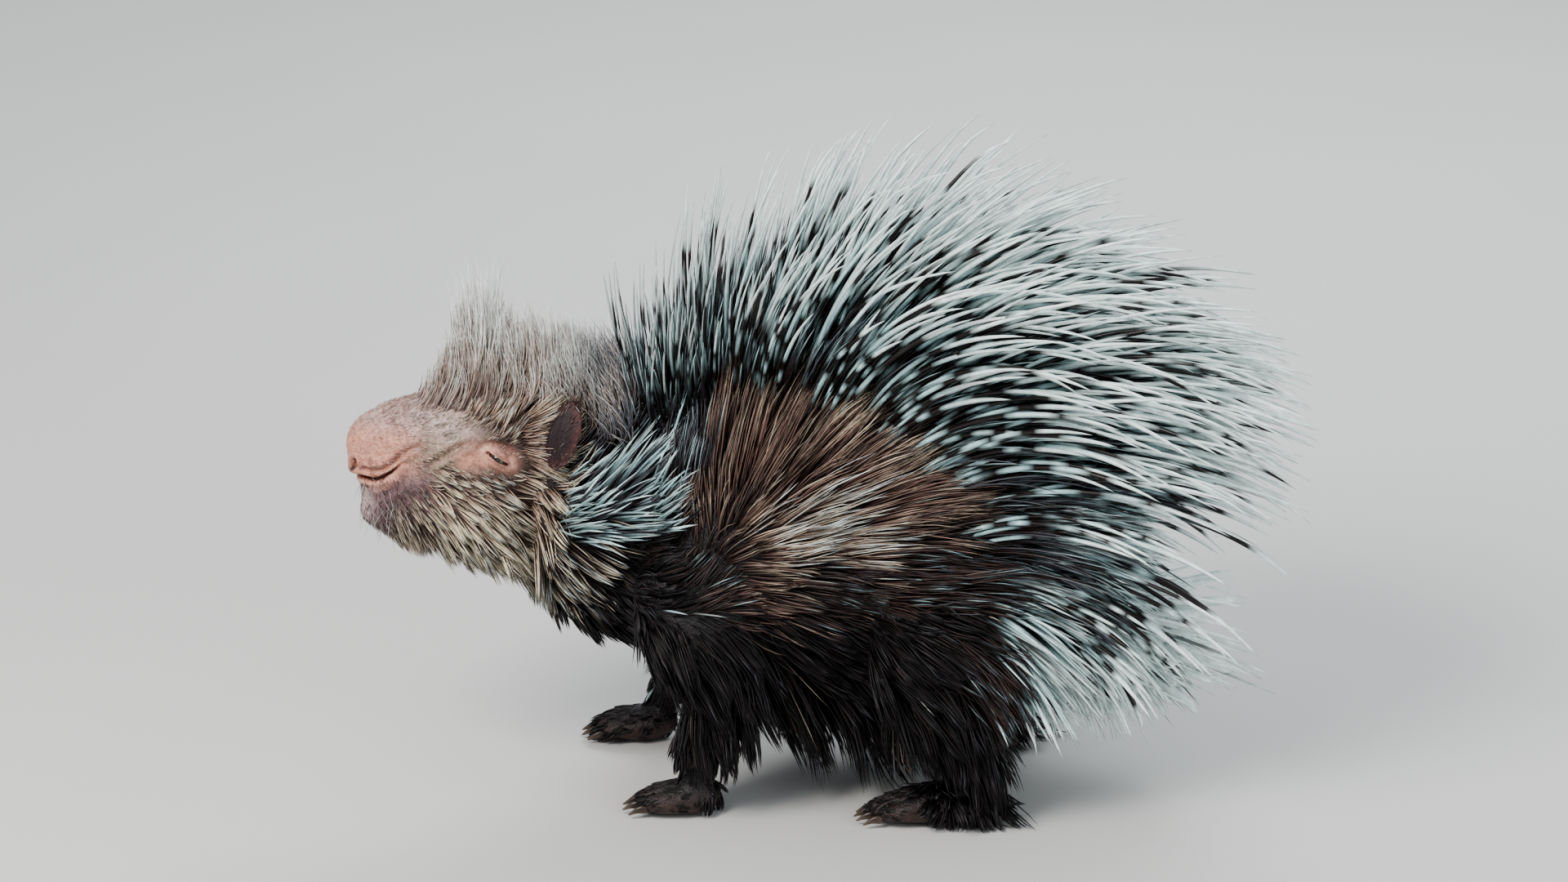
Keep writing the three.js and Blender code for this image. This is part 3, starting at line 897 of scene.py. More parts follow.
def strands(name, path, radius, colour, sides, rng):
    """One closed tapered tube for each path. path (n, k, 3), radius (n, k), colour (n, k, 3)."""
    n, k = path.shape[:2]
    tan = np.gradient(path, axis=1)
    tan = unit(tan)
    ref = unit(np.cross(tan[:, 0], unit(rng.normal(size=(n, 3)))))
    n1 = unit(ref[:, None] - tan * np.sum(ref[:, None] * tan, -1, keepdims=True))
    n2 = np.cross(tan, n1)
    a = np.linspace(0, 2 * np.pi, sides, endpoint=False)
    ring = (
        n1[:, : k - 1, None] * np.cos(a)[:, None] + n2[:, : k - 1, None] * np.sin(a)[:, None]
    )
    body = path[:, : k - 1, None] + ring * radius[:, : k - 1, None, None]
    per = sides * (k - 1) + 1
    v = np.concatenate([body.reshape(n, -1, 3), path[:, -1:, :]], 1).reshape(-1, 3)
    c = np.concatenate(
        [np.repeat(colour[:, : k - 1], sides, axis=1), colour[:, -1:]], 1
    ).reshape(-1, 3)
    # corners of one strand: quads, tip triangles, then the base
    quads = []
    for r in range(k - 2):
        for s in range(sides):
            t = (s + 1) % sides
            quads += [r * sides + s, r * sides + t, (r + 1) * sides + t, (r + 1) * sides + s]
    tip = []
    for s in range(sides):
        tip += [(k - 2) * sides + s, (k - 2) * sides + (s + 1) % sides, per - 1]
    base = list(range(sides - 1, -1, -1))
    one = np.array(quads + tip + base)
    sizes = [4] * ((k - 2) * sides) + [3] * sides + [sides]
    loops = (one[None] + (np.arange(n) * per)[:, None]).ravel()
    size = np.tile(sizes, n)
    start = np.concatenate([[0], np.cumsum(size)[:-1]])
    m = bpy.data.meshes.new(name)
    m.vertices.add(len(v))
    m.vertices.foreach_set("co", ((v - [CX, 0, 0]) / 1000).ravel())
    m.loops.add(len(loops))
    m.loops.foreach_set("vertex_index", loops)
    m.polygons.add(len(size))
    m.polygons.foreach_set("loop_start", start)
    m.polygons.foreach_set("loop_total", size)
    m.polygons.foreach_set("use_smooth", np.ones(len(size), bool))
    m.update(calc_edges=True)
    m.validate()
    # the tuft's own small patch at its root's place
    root = unwrap(path[:, 0])
    ring_u = np.tile(np.append(np.tile(np.arange(sides) / sides, k - 1), 0.5), 1)
    ring_v = np.append(np.repeat(np.arange(k - 1) / (k - 1), sides), 1.0)
    uv = root[:, None] + 0.003 * np.stack([ring_u, ring_v], -1)[None]
    uv = uv.reshape(-1, 2)[loops]
    layer = m.uv_layers.new(name="OFBake")
    layer.data.foreach_set("uv", uv.ravel())
    paint(m, c)
    tris = (2 * (k - 2) * sides + sides + sides - 2) * n
    print("strands", name, n, "triangles", tris)
    return link(m, name)


def frame_dirs(n, d, lift):
    """Directions d laid on the surface with normal n, raised by lift degrees."""
    out = np.sum(n * d, -1)
    t = unit(d - n * out[:, None] + np.array([0.06, 0, 0]))
    stand = np.degrees(np.arcsin(np.clip(out, 0, 1))) * 0.9
    a = np.radians(np.maximum(lift, np.minimum(stand, 76)))[:, None]
    return unit(t * np.cos(a) + n * np.sin(a)), t


def curve(root, d0, d1, length, k, sag=None):
    """A path that leaves along d0 and bends to end along d1."""
    t = np.linspace(0, 1, k)
    n = len(root)
    steps = unit(
        d0[:, None] * (1 - t[None, :, None] ** 1.0) + d1[:, None] * (t[None, :, None] ** 1.0)
    )
    mid = (steps[:, :-1] + steps[:, 1:]) / 2
    p = np.zeros((n, k, 3))
    p[:, 1:] = np.cumsum(mid, 1) * (length / (k - 1))[:, None, None]
    p += root[:, None]
    if sag is not None:
        p[..., 2] -= sag[:, None] * (length[:, None]) * t[None] ** 2
    return p


def profile(k, base, belly, tip, where=0.35):
    """Relative radius along a strand."""
    t = np.linspace(0, 1, k)
    return np.interp(t, [0, where, 0.8, 1.0], [base, belly, (belly + tip) * 0.5, tip])


def shade(n, k, stops, rng, vary=0.18):
    t = np.linspace(0, 1, k)
    out = np.zeros((n, k, 3))
    ts = [s[0] for s in stops]
    cols = [np.broadcast_to(s[1], (n, 3)) for s in stops]
    for j, x in enumerate(t):
        i = max(0, min(len(ts) - 2, int(np.searchsorted(ts, x, side="right")) - 1))
        w = np.clip((x - ts[i]) / (ts[i + 1] - ts[i]), 0, 1)
        out[:, j] = cols[i] * (1 - w) + cols[i + 1] * w
    return out * (1 + vary * rng.normal(size=(n, 1, 1))).clip(0.5, 1.6)


# ------------------------------------------------------------------ roots on the skin
skin.calc_loop_triangles()
sk_p = places(skin)
sk_n = normals(skin)
tri = np.empty(len(skin.loop_triangles) * 3, int)
skin.loop_triangles.foreach_get("vertices", tri)
tri = tri.reshape(-1, 3)
A, B, C = sk_p[tri[:, 0]], sk_p[tri[:, 1]], sk_p[tri[:, 2]]
area = np.linalg.norm(np.cross(B - A, C - A), axis=1) / 2
cum = np.cumsum(area)


def scatter(count, rng):
    """Even random roots all over the skin: places and normals."""
    i = np.searchsorted(cum, rng.random(count) * cum[-1])
    i = np.minimum(i, len(tri) - 1)
    r1, r2 = np.sqrt(rng.random(count)), rng.random(count)
    w = np.stack([1 - r1, r1 * (1 - r2), r1 * r2], -1)
    pts = A[i] * w[:, :1] + B[i] * w[:, 1:2] + C[i] * w[:, 2:]
    nrm = unit(
        sk_n[tri[i, 0]] * w[:, :1] + sk_n[tri[i, 1]] * w[:, 1:2] + sk_n[tri[i, 2]] * w[:, 2:]
    )
    return pts, nrm


# The lie of the coat on the left side: place in the picture, angle (0 back, 90 up), length,
# lift off the skin, and kind of hair.
CHART = [
    # muzzle and face
    (435, 545, 8, 4.2, 30, "stubble"),
    (455, 525, 14, 4.8, 30, "stubble"),
    (480, 508, 24, 7.5, 30, "stubble"),
    (470, 548, 4, 4.6, 28, "stubble"),
    (505, 545, 6, 5.6, 26, "stubble"),
    (505, 575, -14, 5.4, 26, "stubble"),
    (455, 610, -40, 3.4, 34, "chin"),
    (480, 600, -36, 3.8, 34, "chin"),
    (500, 592, -34, 5.4, 30, "chin"),
    (470, 622, -60, 7, 46, "chin"),
    (505, 612, -50, 13, 34, "beard"),
    (495, 634, -66, 28, 50, "beard"),
    (515, 500, 42, 7, 30, "brow"),
    (545, 520, 34, 7, 24, "brow"),
    (540, 485, 56, 16, 40, "brow"),
    (540, 560, -4, 6, 18, "cheek"),
    (545, 580, -28, 13, 20, "cheek"),
    (535, 605, -46, 28, 24, "cheek"),
    (545, 640, -56, 46, 34, "cheek"),
    (585, 500, 72, 18, 36, "brow"),
    (580, 545, 30, 5, 20, "brow"),
    (606, 590, -26, 12, 18, "pale"),
    (620, 530, 70, 20, 28, "brow"),
    (590, 610, -42, 34, 24, "cheek"),
    (590, 650, -50, 56, 34, "cheek"),
    (640, 560, 12, 17, 20, "brow"),
    (650, 520, 50, 30, 40, "brow"),
    (655, 545, 24, 26, 44, "brow"),
    (650, 590, -22, 26, 22, "cheek"),
    (655, 640, -40, 50, 26, "cheek"),
    (615, 690, -52, 60, 34, "cheek"),
    (680, 680, -36, 38, 26, "throat"),
    (650, 720, -44, 34, 28, "throat"),
    # behind the ear
    (712, 510, 78, 62, 44, "nape"),
    (735, 560, 55, 46, 30, "nape"),
    (760, 480, 86, 118, 50, "nape"),
    (735, 430, 92, 108, 52, "nape"),
    (800, 540, 80, 88, 36, "nape"),
    (840, 600, 84, 60, 26, "nape"),
    (845, 510, 86, 98, 40, "nape"),
    # collar
    (698, 645, 30, 46, 40, "collar"),
    (722, 622, 44, 58, 44, "collar"),
    (750, 600, 50, 64, 44, "collar"),
    (782, 578, 56, 62, 42, "collar"),
    (735, 650, 14, 50, 36, "collar"),
    (768, 632, 26, 54, 38, "collar"),
    (720, 676, -20, 38, 26, "throat"),
    (760, 684, -14, 36, 22, "sable"),
    (735, 700, -30, 34, 24, "sable"),
    (728, 560, 62, 46, 34, "nape"),
    (760, 540, 70, 60, 40, "nape"),
    # shoulder and flank
    (860, 660, 92, 44, 18, "russet"),
    (885, 590, 82, 98, 26, "russet"),
    (925, 540, 72, 116, 30, "russet"),
    (940, 620, 66, 88, 24, "russet"),
    (1000, 520, 58, 118, 30, "russet"),
    (900, 480, 74, 108, 34, "russet"),
    (985, 465, 62, 104, 34, "russet"),
    (985, 590, 50, 94, 26, "fawn"),
    (1030, 600, 36, 92, 26, "fawn"),
    (1070, 540, 38, 112, 30, "russet"),
    (948, 664, 22, 52, 26, "pale"),
    (978, 648, 24, 60, 28, "pale"),
    (1015, 662, 12, 54, 26, "pale"),
    (1000, 668, 14, 50, 22, "fawn"),
    (1050, 640, 18, 66, 20, "russet"),
    (915, 700, 6, 34, 16, "russet"),
    (1000, 710, 4, 44, 16, "dark"),
    (1100, 620, 12, 78, 22, "russet"),
    (1130, 580, 20, 92, 28, "dark"),
    (1090, 690, 2, 60, 16, "dark"),
    (1160, 680, -2, 68, 18, "dark"),
    (1200, 630, 4, 78, 24, "spine"),
    (1235, 700, -18, 72, 26, "spine"),
    (1248, 760, -42, 72, 30, "spine"),
    (1262, 830, -62, 76, 34, "spine"),
    (1275, 900, -72, 70, 34, "spine"),
    # under parts and legs
    (665, 740, -24, 26, 24, "sable"),
    (700, 760, -40, 34, 26, "sable"),
    (760, 730, -12, 32, 18, "sable"),
    (800, 700, 10, 34, 16, "sable"),
    (850, 700, 60, 36, 16, "dark"),
    (820, 800, -60, 48, 28, "sable"),
    (900, 800, -66, 48, 20, "sable"),
    (1000, 780, -20, 42, 18, "sable"),
    # long dark belly hair hangs low between the legs: real hair, drawn long so it stands in for the shade under the
    # body
    (960, 850, -80, 84, 52, "sable"),
    (1040, 850, -74, 84, 52, "sable"),
    (1100, 790, -24, 42, 18, "sable"),
    (1150, 860, -66, 50, 22, "sable"),
    (1200, 820, -52, 50, 24, "dark"),
    (1215, 900, -74, 50, 26, "sable"),
    (880, 880, -84, 46, 20, "sable"),
    (870, 950, -84, 15, 14, "sable"),
    (830, 985, -172, 9, 12, "sable"),
    (1150, 940, -80, 30, 20, "sable"),
    (1100, 985, -172, 9, 12, "sable"),
    # under the quills
    (905, 400, 70, 40, 30, "under"),
    (1000, 390, 55, 40, 30, "under"),
    (1150, 450, 40, 40, 30, "under"),
    (1240, 560, 20, 40, 30, "under"),
]
KINDS = sorted({c[5] for c in CHART})
CH_UV = np.array([[c[0], c[1]] for c in CHART], float)
CH_ANG = np.radians([c[2] for c in CHART])
CH_LEN = np.array([c[3] for c in CHART], float)
CH_LIFT = np.array([c[4] for c in CHART], float)
CH_KIND = np.array([KINDS.index(c[5]) for c in CHART])


def look_up(p, rng):
    """For roots p: angle, length, lift and kind of the coat there."""
    u, v = picture(near(p))
    d2 = (u[:, None] - CH_UV[:, 0]) ** 2 + (v[:, None] - CH_UV[:, 1]) ** 2
    w = 1 / (d2 + 60) ** 1.9
    w /= w.sum(1, keepdims=True)
    ang = np.arctan2(w @ np.sin(CH_ANG), w @ np.cos(CH_ANG))
    length = np.exp(w @ np.log(CH_LEN))
    lift = w @ CH_LIFT
    pick = rng.random(len(p))
    cw = np.cumsum(w**1.5 / (w**1.5).sum(1, keepdims=True), 1)
    which = np.argmax(cw > pick[:, None], 1)
    return ang, length, lift, CH_KIND[which], u, v


def field(p, n, ang):
    """Direction of the lie at p, from an angle seen on the left side."""
    d = np.stack([np.cos(ang), np.sin(ang) * SIN20, np.sin(ang) * COS20], -1)
    k = head_share(p)
    q = turned(p, k, back=True)
    right = q[..., 1] > 0
    # the same direction mirrored through the head's own middle plane
    e = turned(PIVOT + d, k, back=True) - PIVOT
    e[..., 1] *= -1
    e = turned(PIVOT + e, k) - PIVOT
    return np.where(right[:, None], e, d)


DENSITY = dict(
    stubble=1.0, chin=0.9, beard=1.0, brow=0.8, cheek=0.95, throat=0.6, nape=0.34,
    collar=0.26, russet=0.41, fawn=0.41, pale=0.46, dark=0.325, spine=0.13, sable=0.235,
    under=0.05,
)
THICK = dict(
    stubble=0.30, chin=0.26, beard=0.34, brow=0.36, cheek=0.5, throat=0.7, nape=0.72,
    collar=1.1, russet=0.52, fawn=0.52, pale=0.56, dark=0.72, spine=1.35, sable=0.95,
    under=0.9,
)
CLUMP = dict(
    stubble=0.0, chin=0.0, beard=0.5, brow=0.5, cheek=0.8, throat=0.7, nape=0.6,
    collar=0.45, russet=0.58, fawn=0.6, pale=0.6, dark=0.6, spine=0.2, sable=0.66,
    under=0.3,
)
# piece: kinds, rings along a strand, sides, strands in one lock
PIECES = dict(
    coat_muzzle=(("stubble", "chin"), 3, 3, 1),
    coat_face=(("beard", "brow", "cheek", "throat"), 6, 3, 11),
    coat_neck=(("nape", "collar"), 6, 3, 6),
    coat_flank=(("russet", "fawn", "pale", "dark"), 5, 3, 9),
    coat_rump=(("spine",), 8, 4, 3),
    coat_low=(("sable", "under"), 5, 3, 8),
)


def pick(chance, *pairs):
    """One colour for each strand: pairs of (up to this chance, colour)."""
    out = np.zeros((len(chance), 3))
    left = np.ones((len(chance), 1), bool)
    for top, colour in pairs:
        take = left & (chance < top)
        out = np.where(take, colour, out)
        left = left & ~take
    return out


def hair_stops(kind, m, c):
    """Colour from root to tip of m strands of one kind. c is a random number for each."""
    if kind == "stubble":
        return [
            (0, srgb(168, 112, 98)),
            (0.35, pick(c, (0.6, srgb(214, 186, 176)), (1, srgb(150, 104, 92)))),
            # the pale pink-white tips: the hairs' own pale colour and a painted highlight
            (1, pick(c, (0.56, srgb(236, 224, 218)), (0.8, srgb(206, 168, 152)), (1, UMBER))),
        ]
    if kind == "chin":
        return [(0, PLUM * 0.6), (1, pick(c, (0.6, SILVER), (1, PLUM * 0.4)))]
    if kind == "beard":
        return [(0, PLUM * 0.8), (1, pick(c, (0.62, CREAM), (1, SABLE)))]
    if kind == "brow":
        return [
            (0, UMBER),
            (0.4, pick(c, (0.66, TAN * 1.3), (1, UMBER * 0.9))),
            (1, pick(c, (0.45, CREAM * 1.1), (0.8, WHITE), (1, TAN))),
        ]
    if kind == "cheek":
        return [
            (0, UMBER * 0.7),
            (0.3, pick(c, (0.68, TAN * 1.15), (1, UMBER * 0.5))),
            (0.6, pick(c, (0.68, CREAM), (1, UMBER * 0.5))),
            (1, pick(c, (0.46, CREAM * 1.1), (0.7, WHITE), (1, UMBER * 0.7))),
        ]
    if kind == "throat":
        return [(0, SABLE), (0.3, SABLE), (1, pick(c, (0.35, CREAM), (0.62, WHITE), (1, SABLE)))]
    if kind == "nape":
        return [
            (0, SABLE * 0.8),
            (0.55, pick(c, (0.55, SABLE * 1.2), (1, STONE * 0.6))),
            (1, pick(c, (0.4, STONE * 0.5), (0.78, STONE), (1, ICE))),
        ]
    if kind == "collar":
        return [
            (0, SABLE),
            (0.25, STONE * 0.8),
            (0.5, pick(c, (0.74, ICE * 0.9), (1, SABLE))),
            (1, pick(c, (0.5, WHITE), (0.76, ICE), (1, STONE))),
        ]
    if kind == "russet":
        return [
            (0, SABLE),
            (0.4, pick(c, (0.5, UMBER * 1.2), (0.8, RUST), (1, SABLE))),
            (1, pick(c, (0.34, TAN * 1.1), (0.56, CREAM * 0.85), (0.84, RUST), (1, SABLE))),
        ]
    if kind == "fawn":
        return [
            (0, SABLE),
            (0.35, pick(c, (0.72, RUST), (1, SABLE))),
            (1, pick(c, (0.46, CREAM), (0.8, TAN * 1.1), (1, UMBER))),
        ]
    if kind == "pale":
        return [(0, UMBER), (0.3, TAN), (1, pick(c, (0.6, WHITE), (0.8, CREAM), (1, UMBER)))]
    if kind == "dark":
        return [
            (0, SABLE * 0.8),
            (0.5, pick(c, (0.7, SABLE), (1, UMBER * 0.8))),
            (1, pick(c, (0.22, STONE), (0.34, ICE * 0.9), (0.7, SABLE), (1, UMBER))),
        ]
    if kind == "spine":
        return [
            (0, SABLE),
            (0.25, pick(c, (0.4, SABLE), (1, ICE * 0.9))),
            (0.5, pick(c, (0.5, ICE), (0.75, SABLE * 0.8), (1, WHITE))),
            (1, WHITE),
        ]
    if kind == "sable":
        return [
            (0, INK * 0.6),
            (0.6, pick(c, (0.8, INK), (1, SABLE))),
            (1, pick(c, (0.16, STONE * 0.8), (0.3, SABLE * 1.4), (1, INK * 1.3))),
        ]
    return [(0, INK), (1, SABLE)]


def coat():
    rng = np.random.default_rng(SEED)
    p, n = scatter(96000, rng)
    extra, extra_n = scatter(300000, rng)
    e = turned(extra, head_share(extra), back=True)
    some = e[:, 0] < -232
    p, n = np.concatenate([p, extra[some]]), np.concatenate([n, extra_n[some]])
    finer = np.arange(len(p)) >= 96000
    ang, length, lift, kind, u, v = look_up(p, rng)
    q = turned(p, head_share(p), back=True)
    q[:, 1] = -np.abs(q[:, 1])
    dens = np.array([DENSITY[k] for k in KINDS])[kind]
    short = np.isin(kind, [KINDS.index("stubble"), KINDS.index("chin")])
    dens = np.where(finer & ~short, dens * 0.30, dens)
    # bare: lips, eye rims, nostrils, inside the mouth, soles
    d_lip = np.abs(q[:, 2] - mouth_height(q[:, 0], q[:, 1]))
    d_eye, _ = dist_to_line(q, SLIT)
    d_nos, _ = dist_to_line(q, NOSTRIL)
    dens = np.where((q[:, 0] < LIPS[-1][0]) & (d_lip < 3.6), 0, dens)
    dens = np.where(d_nos < 2.6, 0, dens)
    d_patch, _ = dist_to_line(q, EYE_PATCH)
    dens = np.where((d_eye < 6.6) | (d_patch < 4.2), 0, dens)
    length = np.where(
        q[:, 0] < -215, length * (0.24 + 0.76 * smooth(4, 19, np.minimum(d_eye, d_patch))), length
    )
    dens = np.where((p[:, 2] < 3.5), 0, dens)
    dens = np.where((p[:, 2] < 40) & (n[:, 2] > 0.1) & (kind == KINDS.index("sable")), 0.7, dens)
    kind = np.where((kind == KINDS.index("spine")) & (u < 1190), KINDS.index("dark"), kind)
    keep = rng.random(len(p)) < dens
    p, n, ang, length, lift, kind = (a[keep] for a in (p, n, ang, length, lift, kind))
    ang = ang + rng.normal(0, 0.10, len(p))
    lift = lift * (0.7 + 0.6 * rng.random(len(p)))
    length = length * (0.66 + 0.42 * rng.random(len(p)))
    d, t = frame_dirs(n, field(p, n, ang), np.clip(lift, 4, 72))
    end, _ = frame_dirs(
        n, field(p, n, ang + rng.normal(0, 0.08, len(p))), np.clip(lift * 0.35, 1, 60)
    )
    end = unit(end + np.array([0, 0, -0.14]))
    pieces = []
    for name, (members, k, sides, group) in PIECES.items():
        ids = [KINDS.index(m) for m in members if m in KINDS]
        sel = np.isin(kind, ids)
        pp, nn, dd, ee, ll, kk = p[sel], n[sel], d[sel], end[sel], length[sel], kind[sel]
        path = curve(pp - nn * 0.8, dd, ee, ll, k)
        tone = np.ones(len(pp))
        if group > 1:
            # wet hair draws together in locks: each strand leans to the middle one of its lock
            m = max(1, len(pp) // group)
            centre = rng.permutation(len(pp))[:m]
            tree_c = KDTree(m)
            for i, c in enumerate(centre):
                tree_c.insert(pp[c], i)
            tree_c.balance()
            mine = centre[[tree_c.find(x)[1] for x in pp]]
            pull = np.array([CLUMP[KINDS[i]] for i in kk])
            apart = np.linalg.norm(pp - pp[mine], axis=1)
            agree = np.sum(dd * dd[mine], 1)
            pull = pull * smooth(26, 14, apart) * smooth(0.3, 0.7, agree)
            swing = rng.normal(0, 0.06, (len(pp), 3))[mine] * ll[mine][:, None]
            t = np.linspace(0, 1, k)[None, :, None]
            lead = path[mine] + swing[:, None] * t**2
            longer = 0.85 + 0.4 * rng.random(len(pp))[mine]
            path = path[:, :1] + (path - path[:, :1]) * longer[:, None, None]
            path = path + (lead - path) * (pull[:, None, None] * t**0.9)
            tone = (0.62 + 0.62 * rng.random(len(pp)))[mine]
        path[..., 2] = np.maximum(path[..., 2], 2.0)
        r = np.array([THICK[KINDS[i]] for i in kk]) * (0.7 + 0.6 * rng.random(len(pp)))
        r = r * np.clip(ll / 14, 0.45, 1)
        radius = r[:, None] * profile(k, 0.75, 1.0, 0.12)[None]
        colour = np.zeros((len(pp), k, 3))
        for i in np.unique(kk):
            at = kk == i
            c = rng.random(int(at.sum()))[:, None]
            colour[at] = shade(len(c), k, hair_stops(KINDS[i], len(c), c), rng)
        colour *= tone[:, None, None]
        if name in ("coat_low", "coat_face"):
            for half, word in ((path[:, 0, 1] < 0, "left"), (path[:, 0, 1] >= 0, "right")):
                full = name + "_" + word
                ob = strands(full, path[half], radius[half], colour[half], sides, rng)
                pieces.append((ob, full))
        else:
            pieces.append((strands(name, path, radius, colour, sides, rng), name))
    return pieces


coat_pieces = coat()

# ------------------------------------------------------------------ quills
MANTLE = dict(
    frontX=-110, rearX=184,
    spread=[26, 36, 58, 88, 116],
    rise=[106, 90, 62, 28, -8],
    riseSide=[104, 82, 44, 8, -62],
    splay=[46, 44, 38, 30, 22],
    long=[146, 208, 246, 240, 168],
    longSide=[112, 170, 204, 206, 108],
    sag=0.14,
)
TRUNK_ROUND = 2.6
_s = np.linspace(0, 1, 2001)
_x = through(np.array(TRUNK)[:, 0], _s)


def trunk_s(x):
    return np.interp(x, _x, _s)


def mantle(a, b):
    """Root, direction and length of the quills at a (front to rear), b (across)."""
    M = MANTLE
    side, edge = np.sign(b), np.abs(b)
    x = lerp(M["frontX"], M["rearX"], a)
    turn = np.radians(through(M["spread"], a)) * b
    root = loft_point(TRUNK, trunk_s(x), turn, TRUNK_ROUND, -3.0)
    rise = np.radians(lerp(through(M["rise"], a), through(M["riseSide"], a), edge**1.3))
    splay = np.radians(through(M["splay"], a)) * side * edge**0.9
    long = lerp(through(M["long"], a), through(M["longSide"], a), edge * edge)
    d = np.stack(
        [np.cos(rise) * np.cos(splay), np.sin(splay), np.sin(rise) * np.cos(splay)], -1
    )
    return root, d, long


def banded(n, k, rng, a):
    """White quills with dark bands: mostly two, wide ones, and a dark root towards the front."""
    t = np.linspace(0, 1, k)[None]
    dark = np.zeros((n, k))
    shift = rng.uniform(-0.13, 0.14, (n, 1))
    for mid, wide, chance in ((0.22, 0.055, 0.7), (0.41, 0.068, 0.95), (0.60, 0.064, 0.88), (0.73, 0.04, 0.42)):
        back = smooth(0.52, 0.7, a)[:, None] if mid > 0.7 else 1.0
        on = rng.random((n, 1)) < chance * back
        w = wide * (0.7 + 0.7 * rng.random((n, 1)))
        m = mid + shift + rng.normal(0, 0.03, (n, 1))
        dark = np.maximum(dark, on * (1 - smooth(w * 0.85, w * 1.15, np.abs(t - m))))
    front = smooth(0.42, 0.05, a)[:, None]
    dark = np.maximum(dark, front * (1 - smooth(0.30, 0.62, t)))
    white = smooth(0.5, 0.8, t)[..., None]
    base = ICE[None, None] * 0.94 * (1 - white) + WHITE[None, None] * white
    # painted shade: every quill is darker over the part near its root, deep in the coat
    base = base * (0.66 + 0.34 * smooth(0.0, 0.3, t))[..., None]
    base = base * (1 + 0.10 * rng.normal(size=(n, 1, 1))).clip(0.6, 1.3)
    base = base * lerp(0.42, 1.0, smooth(0.02, 0.34, a))[:, None, None] ** (1.0 - 0.6 * white)
    return base * (1 - dark[..., None]) + (SABLE * 0.42) * dark[..., None]


def quill_piece(name, side, rng, count, k, sides, scale=1.0, dark=False):
    a = rng.random(count * 4) ** 0.9
    b = rng.random(count * 4)
    # keep the root density even over the back, thinner towards the lower edge in front
    w = through(MANTLE["spread"], a) / 116
    edge = np.interp(a, [0, 0.2, 0.45, 0.7, 1.0], [0.66, 0.64, 0.68, 0.9, 1.0])
    keep = (rng.random(len(a)) < w) & (b < edge)
    if dark:
        keep &= rng.random(len(a)) < 0.35 + 0.65 * smooth(0.5, 0.1, a)
    a, b = a[keep][:count], b[keep][:count] * side
    root, d, long = mantle(a, b)
    n = len(a)
    d = unit(d + rng.normal(0, 0.036, (n, 3)))
    long = long * (0.56 + 0.46 * rng.random(n) ** 0.85) * scale
    # each arches: the front ones over the back, the rear ones down
    rear = smooth(0.2, 0.6, a)
    arch = (0.75 + 0.5 * rng.random(n)) * (long / 200)
    up = np.stack([-0.14 * (1 - rear), np.zeros(n), 0.06 + 0.24 * rear], -1) * arch[:, None]
    down = np.stack([0.34 * (1 - rear), np.zeros(n), -0.26 - 0.46 * rear], -1) * arch[:, None]
    d0 = unit(d + up)
    d1 = unit(d + down + rng.normal(0, 0.06, (n, 3)))
    path = curve(root, d0, d1, long, k)
    # low behind, above the tail, only a few
    tip_u, tip_v = picture(near(path[:, -1]))
    far_u, far_v = picture(path[:, -1])
    empty = smooth(1370, 1430, tip_u) * smooth(610, 690, tip_v)
    empty = np.maximum(empty, smooth(1370, 1430, far_u) * smooth(570, 660, far_v))
    stay = rng.random(n) > empty * 0.92
    a, long, path = a[stay], long[stay], path[stay]
    n = len(a)
    path[..., 2] = np.maximum(path[..., 2], 6.0)
    path[..., 2] -= 0.45 * np.maximum(path[..., 2] - 478, 0)
    thick = lerp(1.0, 2.15, smooth(0.06, 0.5, a)) * (0.8 + 0.35 * rng.random(n))
    if dark:
        thick = 0.8 * (0.8 + 0.4 * rng.random(n))
    radius = thick[:, None] * np.interp(
        np.linspace(0, 1, k), [0, 0.1, 0.4, 0.75, 0.92, 1], [0.62, 0.9, 1.0, 0.84, 0.5, 0.06]
    )
    if dark:
        c = rng.random(n)[:, None]
        colour = shade(
            n,
            k,
            [
                (0, SABLE * 0.8),
                (0.6, pick(c, (0.5, SABLE), (1, STONE * 0.6))),
                (1, pick(c, (0.45, ICE), (0.8, STONE), (1, SABLE))),
            ],
            rng,
        )
    else:
        colour = banded(n, k, rng, a)
    return strands(name, path, radius, colour, sides, rng)


rng = np.random.default_rng(SEED + 1)
quill_pieces = []
for side, word in ((-1, "left"), (1, "right")):
    quill_pieces.append(quill_piece("quills_long_" + word, side, rng, 1010, 18, 4))
    quill_pieces.append(
        quill_piece("quills_fine_" + word, side, rng, 1500, 8, 3, 0.62, dark=True)
    )

# ------------------------------------------------------------------ crest
CREST = dict(
    x=[-292, -266, -234, -198, -168, -140],
    z=[292, 298, 302, 296, 288, 282],
    half=[14, 26, 32, 36, 42, 46],
    rise=[64, 80, 84, 87, 94, 104],
    lean=[10, 22, 28, 32, 38, 42],
    long=[34, 106, 104, 100, 102, 108],
    longSide=[14, 46, 56, 64, 74, 90],
)


